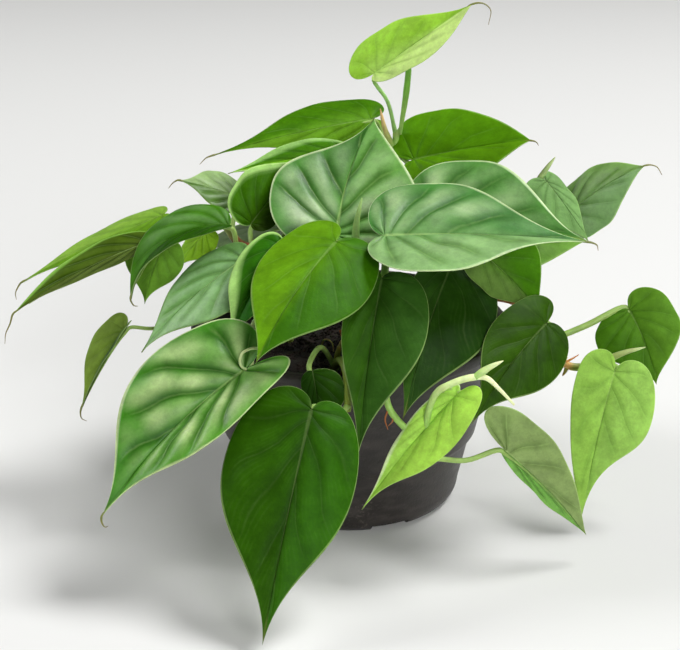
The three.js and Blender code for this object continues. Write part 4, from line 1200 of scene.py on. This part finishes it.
def soil_surface():
    """The open top of the soil alone, for crumbs to be scattered on."""
    top = (wall_radius(SOIL_TOP) - WALL - SOIL_GAP - 2.2) * MM
    made = bmesh.new()
    bmesh.ops.create_circle(made, cap_ends=True, segments=64, radius=top)
    bmesh.ops.triangulate(made, faces=made.faces)
    bmesh.ops.subdivide_edges(made, edges=made.edges, cuts=6, use_grid_fill=True)
    for vert in made.verts:
        vert.co.z = soil_height(vert.co.x / MM, vert.co.y / MM) * MM
    return take_mesh(made, "soil_surface")


def crumb_tree():
    """Crumbs scattered on a surface, each turned and sized at random."""
    tree, add, given, keys = new_tree("Crumbs on a surface", Density="Float", Radius="Float",
                                      Flatness="Float", Seed="Int", Earth="Material")
    spread = add("GeometryNodeDistributePointsOnFaces",
                 {"Mesh": given["Geometry"], "Density": given["Density"], "Seed": given["Seed"]})
    crumb = add("GeometryNodeMeshIcoSphere", {"Radius": given["Radius"], "Subdivisions": 1})
    lumpy = add("CombineXYZ", [1, 0.75, given["Flatness"]])
    squashed = add("GeometryNodeTransform", {"Geometry": crumb, "Scale": lumpy})
    turn = add("FunctionNodeRandomValue", {1: (6.28, 6.28, 6.28), "Seed": 3},
               data_type="FLOAT_VECTOR")
    size = add("FunctionNodeRandomValue", {2: 0.35, 3: 1.5, "Seed": 5}, data_type="FLOAT")
    placed = add("GeometryNodeInstanceOnPoints",
                 {"Points": spread, "Instance": squashed, "Rotation": turn, "Scale": size})
    close_tree(add, placed, given["Earth"])
    return tree, keys


# Operators: one for each piece or group of like pieces, and one for the stage


class PHILO_OT_pot(Operator):
    """Builds the moulded nursery pot, with its feet and drain holes"""
    bl_idname = "philo.pot"
    bl_label = "Pot"

    def execute(self, context):
        settings = context.scene.philo_pot
        mesh = cut_mesh(turned_mesh("pot", pot_profile(), settings.sides), pot_cutters())
        if len(mesh.polygons) < settings.sides * FACES_A_SIDE:
            raise RuntimeError("the pot lost its wall when its feet were cut")
        mesh.materials.clear()
        mesh.materials.append(keep("pot", pot_material, tuple(settings.plastic)))
        smooth(mesh)
        mesh.set_sharp_from_angle(angle=SHARP_EDGE * DEGREE)
        new_piece("nursery_pot", mesh, ["pot"])
        return {"FINISHED"}


class PHILO_OT_soil(Operator):
    """Fills the pot with damp potting mix and scatters crumbs and bark chips on it"""
    bl_idname = "philo.soil"
    bl_label = "Soil"

    def execute(self, context):
        settings = context.scene.philo_soil
        earth = keep("soil", soil_material, tuple(settings.colour))
        mesh = soil_mesh()
        mesh.materials.append(earth)
        new_piece("potting_mix", mesh, ["soil"])
        surface = soil_surface()
        for name, density, radius, flatness, seed in (
                ("fine_crumbs", settings.density, settings.crumb, CRUMB_FLAT, CRUMB_SEED),
                ("bark_chips", settings.density * CHIP_SHARE, settings.crumb * CHIP_SIZE,
                 CHIP_FLAT, CHIP_SEED)):
            mesh = run_tree("Crumbs", crumb_tree, surface, Density=density, Radius=radius,
                            Flatness=flatness, Seed=seed, Earth=earth)
            if not mesh.polygons:
                raise RuntimeError("nothing was scattered for " + name)
            new_piece(name, mesh)
        bpy.data.meshes.remove(surface)
        return {"FINISHED"}


class PHILO_OT_stems(Operator):
    """Builds the stems with their nodes, spears, sheaths and root bits"""
    bl_idname = "philo.stems"
    bl_label = "Stems"

    def execute(self, context):
        skin = keep("stalk", stalk_material)
        for stem in STEMS:
            mesh = stem_mesh(stem, context.scene.philo_stems.sides, skin)
            new_piece("vine_" + stem["name"][5:], mesh, [stem["name"]])
        new_piece("dry_scraps", scraps_mesh(skin))
        return {"FINISHED"}


class PHILO_OT_leaves(Operator):
    """Builds every open leaf: blade, veins, stalk and drip tip"""
    bl_idname = "philo.leaves"
    bl_label = "Leaves"

    def execute(self, context):
        scene = context.scene
        settings = scene.philo_leaf
        waxy, satin, dull = (
            keep(name, blade_material, name, settings.gloss + duller, reflection, upper)
            for name, duller, reflection, upper in (
                ("Leaf cuticle, waxy upper face", 0, 0.25, True),
                ("Leaf cuticle, satin upper face", 0.12, 0.08, True),
                ("Leaf underside, dull", 0.16, 0.12, False)))
        stalk = keep("stalk", stalk_material)
        for leaf in LEAVES:
            # A leaf with strong painted sheen gets the waxy, more reflective upper face
            upper = waxy if max(leaf["silver"]) > WAXY_FROM else satin
            mesh = leaf_mesh(leaf, settings, scene.philo_stems.sides, [upper, dull, stalk])
            if not mesh.polygons:
                raise RuntimeError("no blade for " + leaf["name"])
            new_piece("blade_" + leaf["name"][5:], mesh, [leaf["name"]])
        return {"FINISHED"}


class PHILO_OT_rolled_leaf(Operator):
    """Builds the youngest leaf, still rolled into a slim spindle"""
    bl_idname = "philo.rolled_leaf"
    bl_label = "Rolled leaf"

    def execute(self, context):
        skin = keep("stalk", stalk_material)
        leaf = ROLLED_LEAF
        a, b = np.array(leaf["start"]), np.array(leaf["end"], dtype=float)
        places = smooth_path([a, (a + b) / 2 + (0.4, 0, 0), b], ROLLED_STEPS)
        along = np.linspace(0, 1, len(places))
        radii = leaf["radius"] * np.interp(along, *ROLLED_SHAPE)
        tone = blend_colours(*(linear(code) for code in ROLLED_TONES),
                             np.clip(along * 1.6, 0, 1))
        mesh = tube_mesh(leaf["name"], places, radii, tone, ROLLED_SIDES, skin)
        mesh = join_meshes(leaf["name"], [mesh], [skin])
        new_piece("blade_top_rolled", mesh, [leaf["name"]])
        return {"FINISHED"}


class PHILO_OT_stage(Operator):
    """Sets the plain floor, the soft lights and the camera"""
    bl_idname = "philo.stage"
    bl_label = "Stage"

    def execute(self, context):
        scene = context.scene
        settings = scene.philo_stage
        made = bmesh.new()
        bmesh.ops.create_grid(made, x_segments=8, y_segments=8, size=FLOOR_REACH)
        floor = put("floor", take_mesh(made, "floor"))
        floor.data.materials.append(keep("floor", floor_material, tuple(settings.floor)))

        world = bpy.data.worlds.new("Studio")
        world.use_nodes = True
        add = partial(add_node, world.node_tree)
        backdrop = world.node_tree.nodes["Background"]
        upward = add("SeparateXYZ", [add("TexCoord").outputs["Generated"]])
        dome = add("MapRange", [upward.outputs["Z"], 0, HORIZON_TOP, settings.horizon,
                                settings.daylight], **SOFT)
        backdrop.inputs["Color"].default_value = (1.0, 1.0, 1.0, 1.0)
        world.node_tree.links.new(dome.outputs[0], backdrop.inputs["Strength"])
        scene.world = world

        for name, (place, size, share) in LAMPS.items():
            lamp = bpy.data.lights.new(name, "AREA")
            lamp.shape = "DISK"
            lamp.size = size
            lamp.energy = settings.key * share
            light = put(name, lamp)
            light.location = place
            aim = Vector(AIM) - Vector(place)
            light.rotation_euler = aim.to_track_quat("-Z", "Y").to_euler()

        lens = bpy.data.cameras.new("Camera")
        lens.sensor_width = SENSOR
        lens.lens = SENSOR * CAMERA_FOCUS_PIXELS / PHOTO_WIDTH
        lens.clip_start = 0.01
        camera = put("Camera", lens)
        camera.location = Vector(CAMERA_PLACE) * MM
        camera.rotation_euler = ((90 - CAMERA_PITCH) * DEGREE, 0, 0)
        scene.camera = camera
        scene.view_settings.view_transform = "Standard"
        return {"FINISHED"}


class PHILO_PT_panel(Panel):
    """Lists the steps that build the plant"""
    bl_idname = "PHILO_PT_panel"
    bl_label = "Philodendron"
    bl_space_type = "VIEW_3D"
    bl_region_type = "UI"
    bl_category = "Philodendron"

    def draw(self, context):
        column = self.layout.column()
        for operator in OPERATORS:
            column.operator(operator.bl_idname)
        for name in SETTINGS:
            for key in getattr(context.scene, name).__annotations__:
                column.prop(getattr(context.scene, name), key)


OPERATORS = (PHILO_OT_stage, PHILO_OT_pot, PHILO_OT_soil, PHILO_OT_stems, PHILO_OT_leaves,
             PHILO_OT_rolled_leaf)
SETTINGS = {
    "philo_pot": PotSettings,
    "philo_soil": SoilSettings,
    "philo_leaf": LeafSettings,
    "philo_stems": StemSettings,
    "philo_stage": StageSettings,
}


def register():
    for kind in (*SETTINGS.values(), *OPERATORS, PHILO_PT_panel):
        bpy.utils.register_class(kind)
    for name, kind in SETTINGS.items():
        setattr(bpy.types.Scene, name, PointerProperty(type=kind))


def unregister():
    for name in SETTINGS:
        delattr(bpy.types.Scene, name)
    for kind in (PHILO_PT_panel, *reversed(OPERATORS), *SETTINGS.values()):
        bpy.utils.unregister_class(kind)


def main():
    register()
    bpy.ops.philo.stage()
    bpy.ops.philo.pot()
    bpy.ops.philo.soil()
    bpy.ops.philo.stems()
    bpy.ops.philo.leaves()
    bpy.ops.philo.rolled_leaf()


if __name__ == "__main__":
    main()
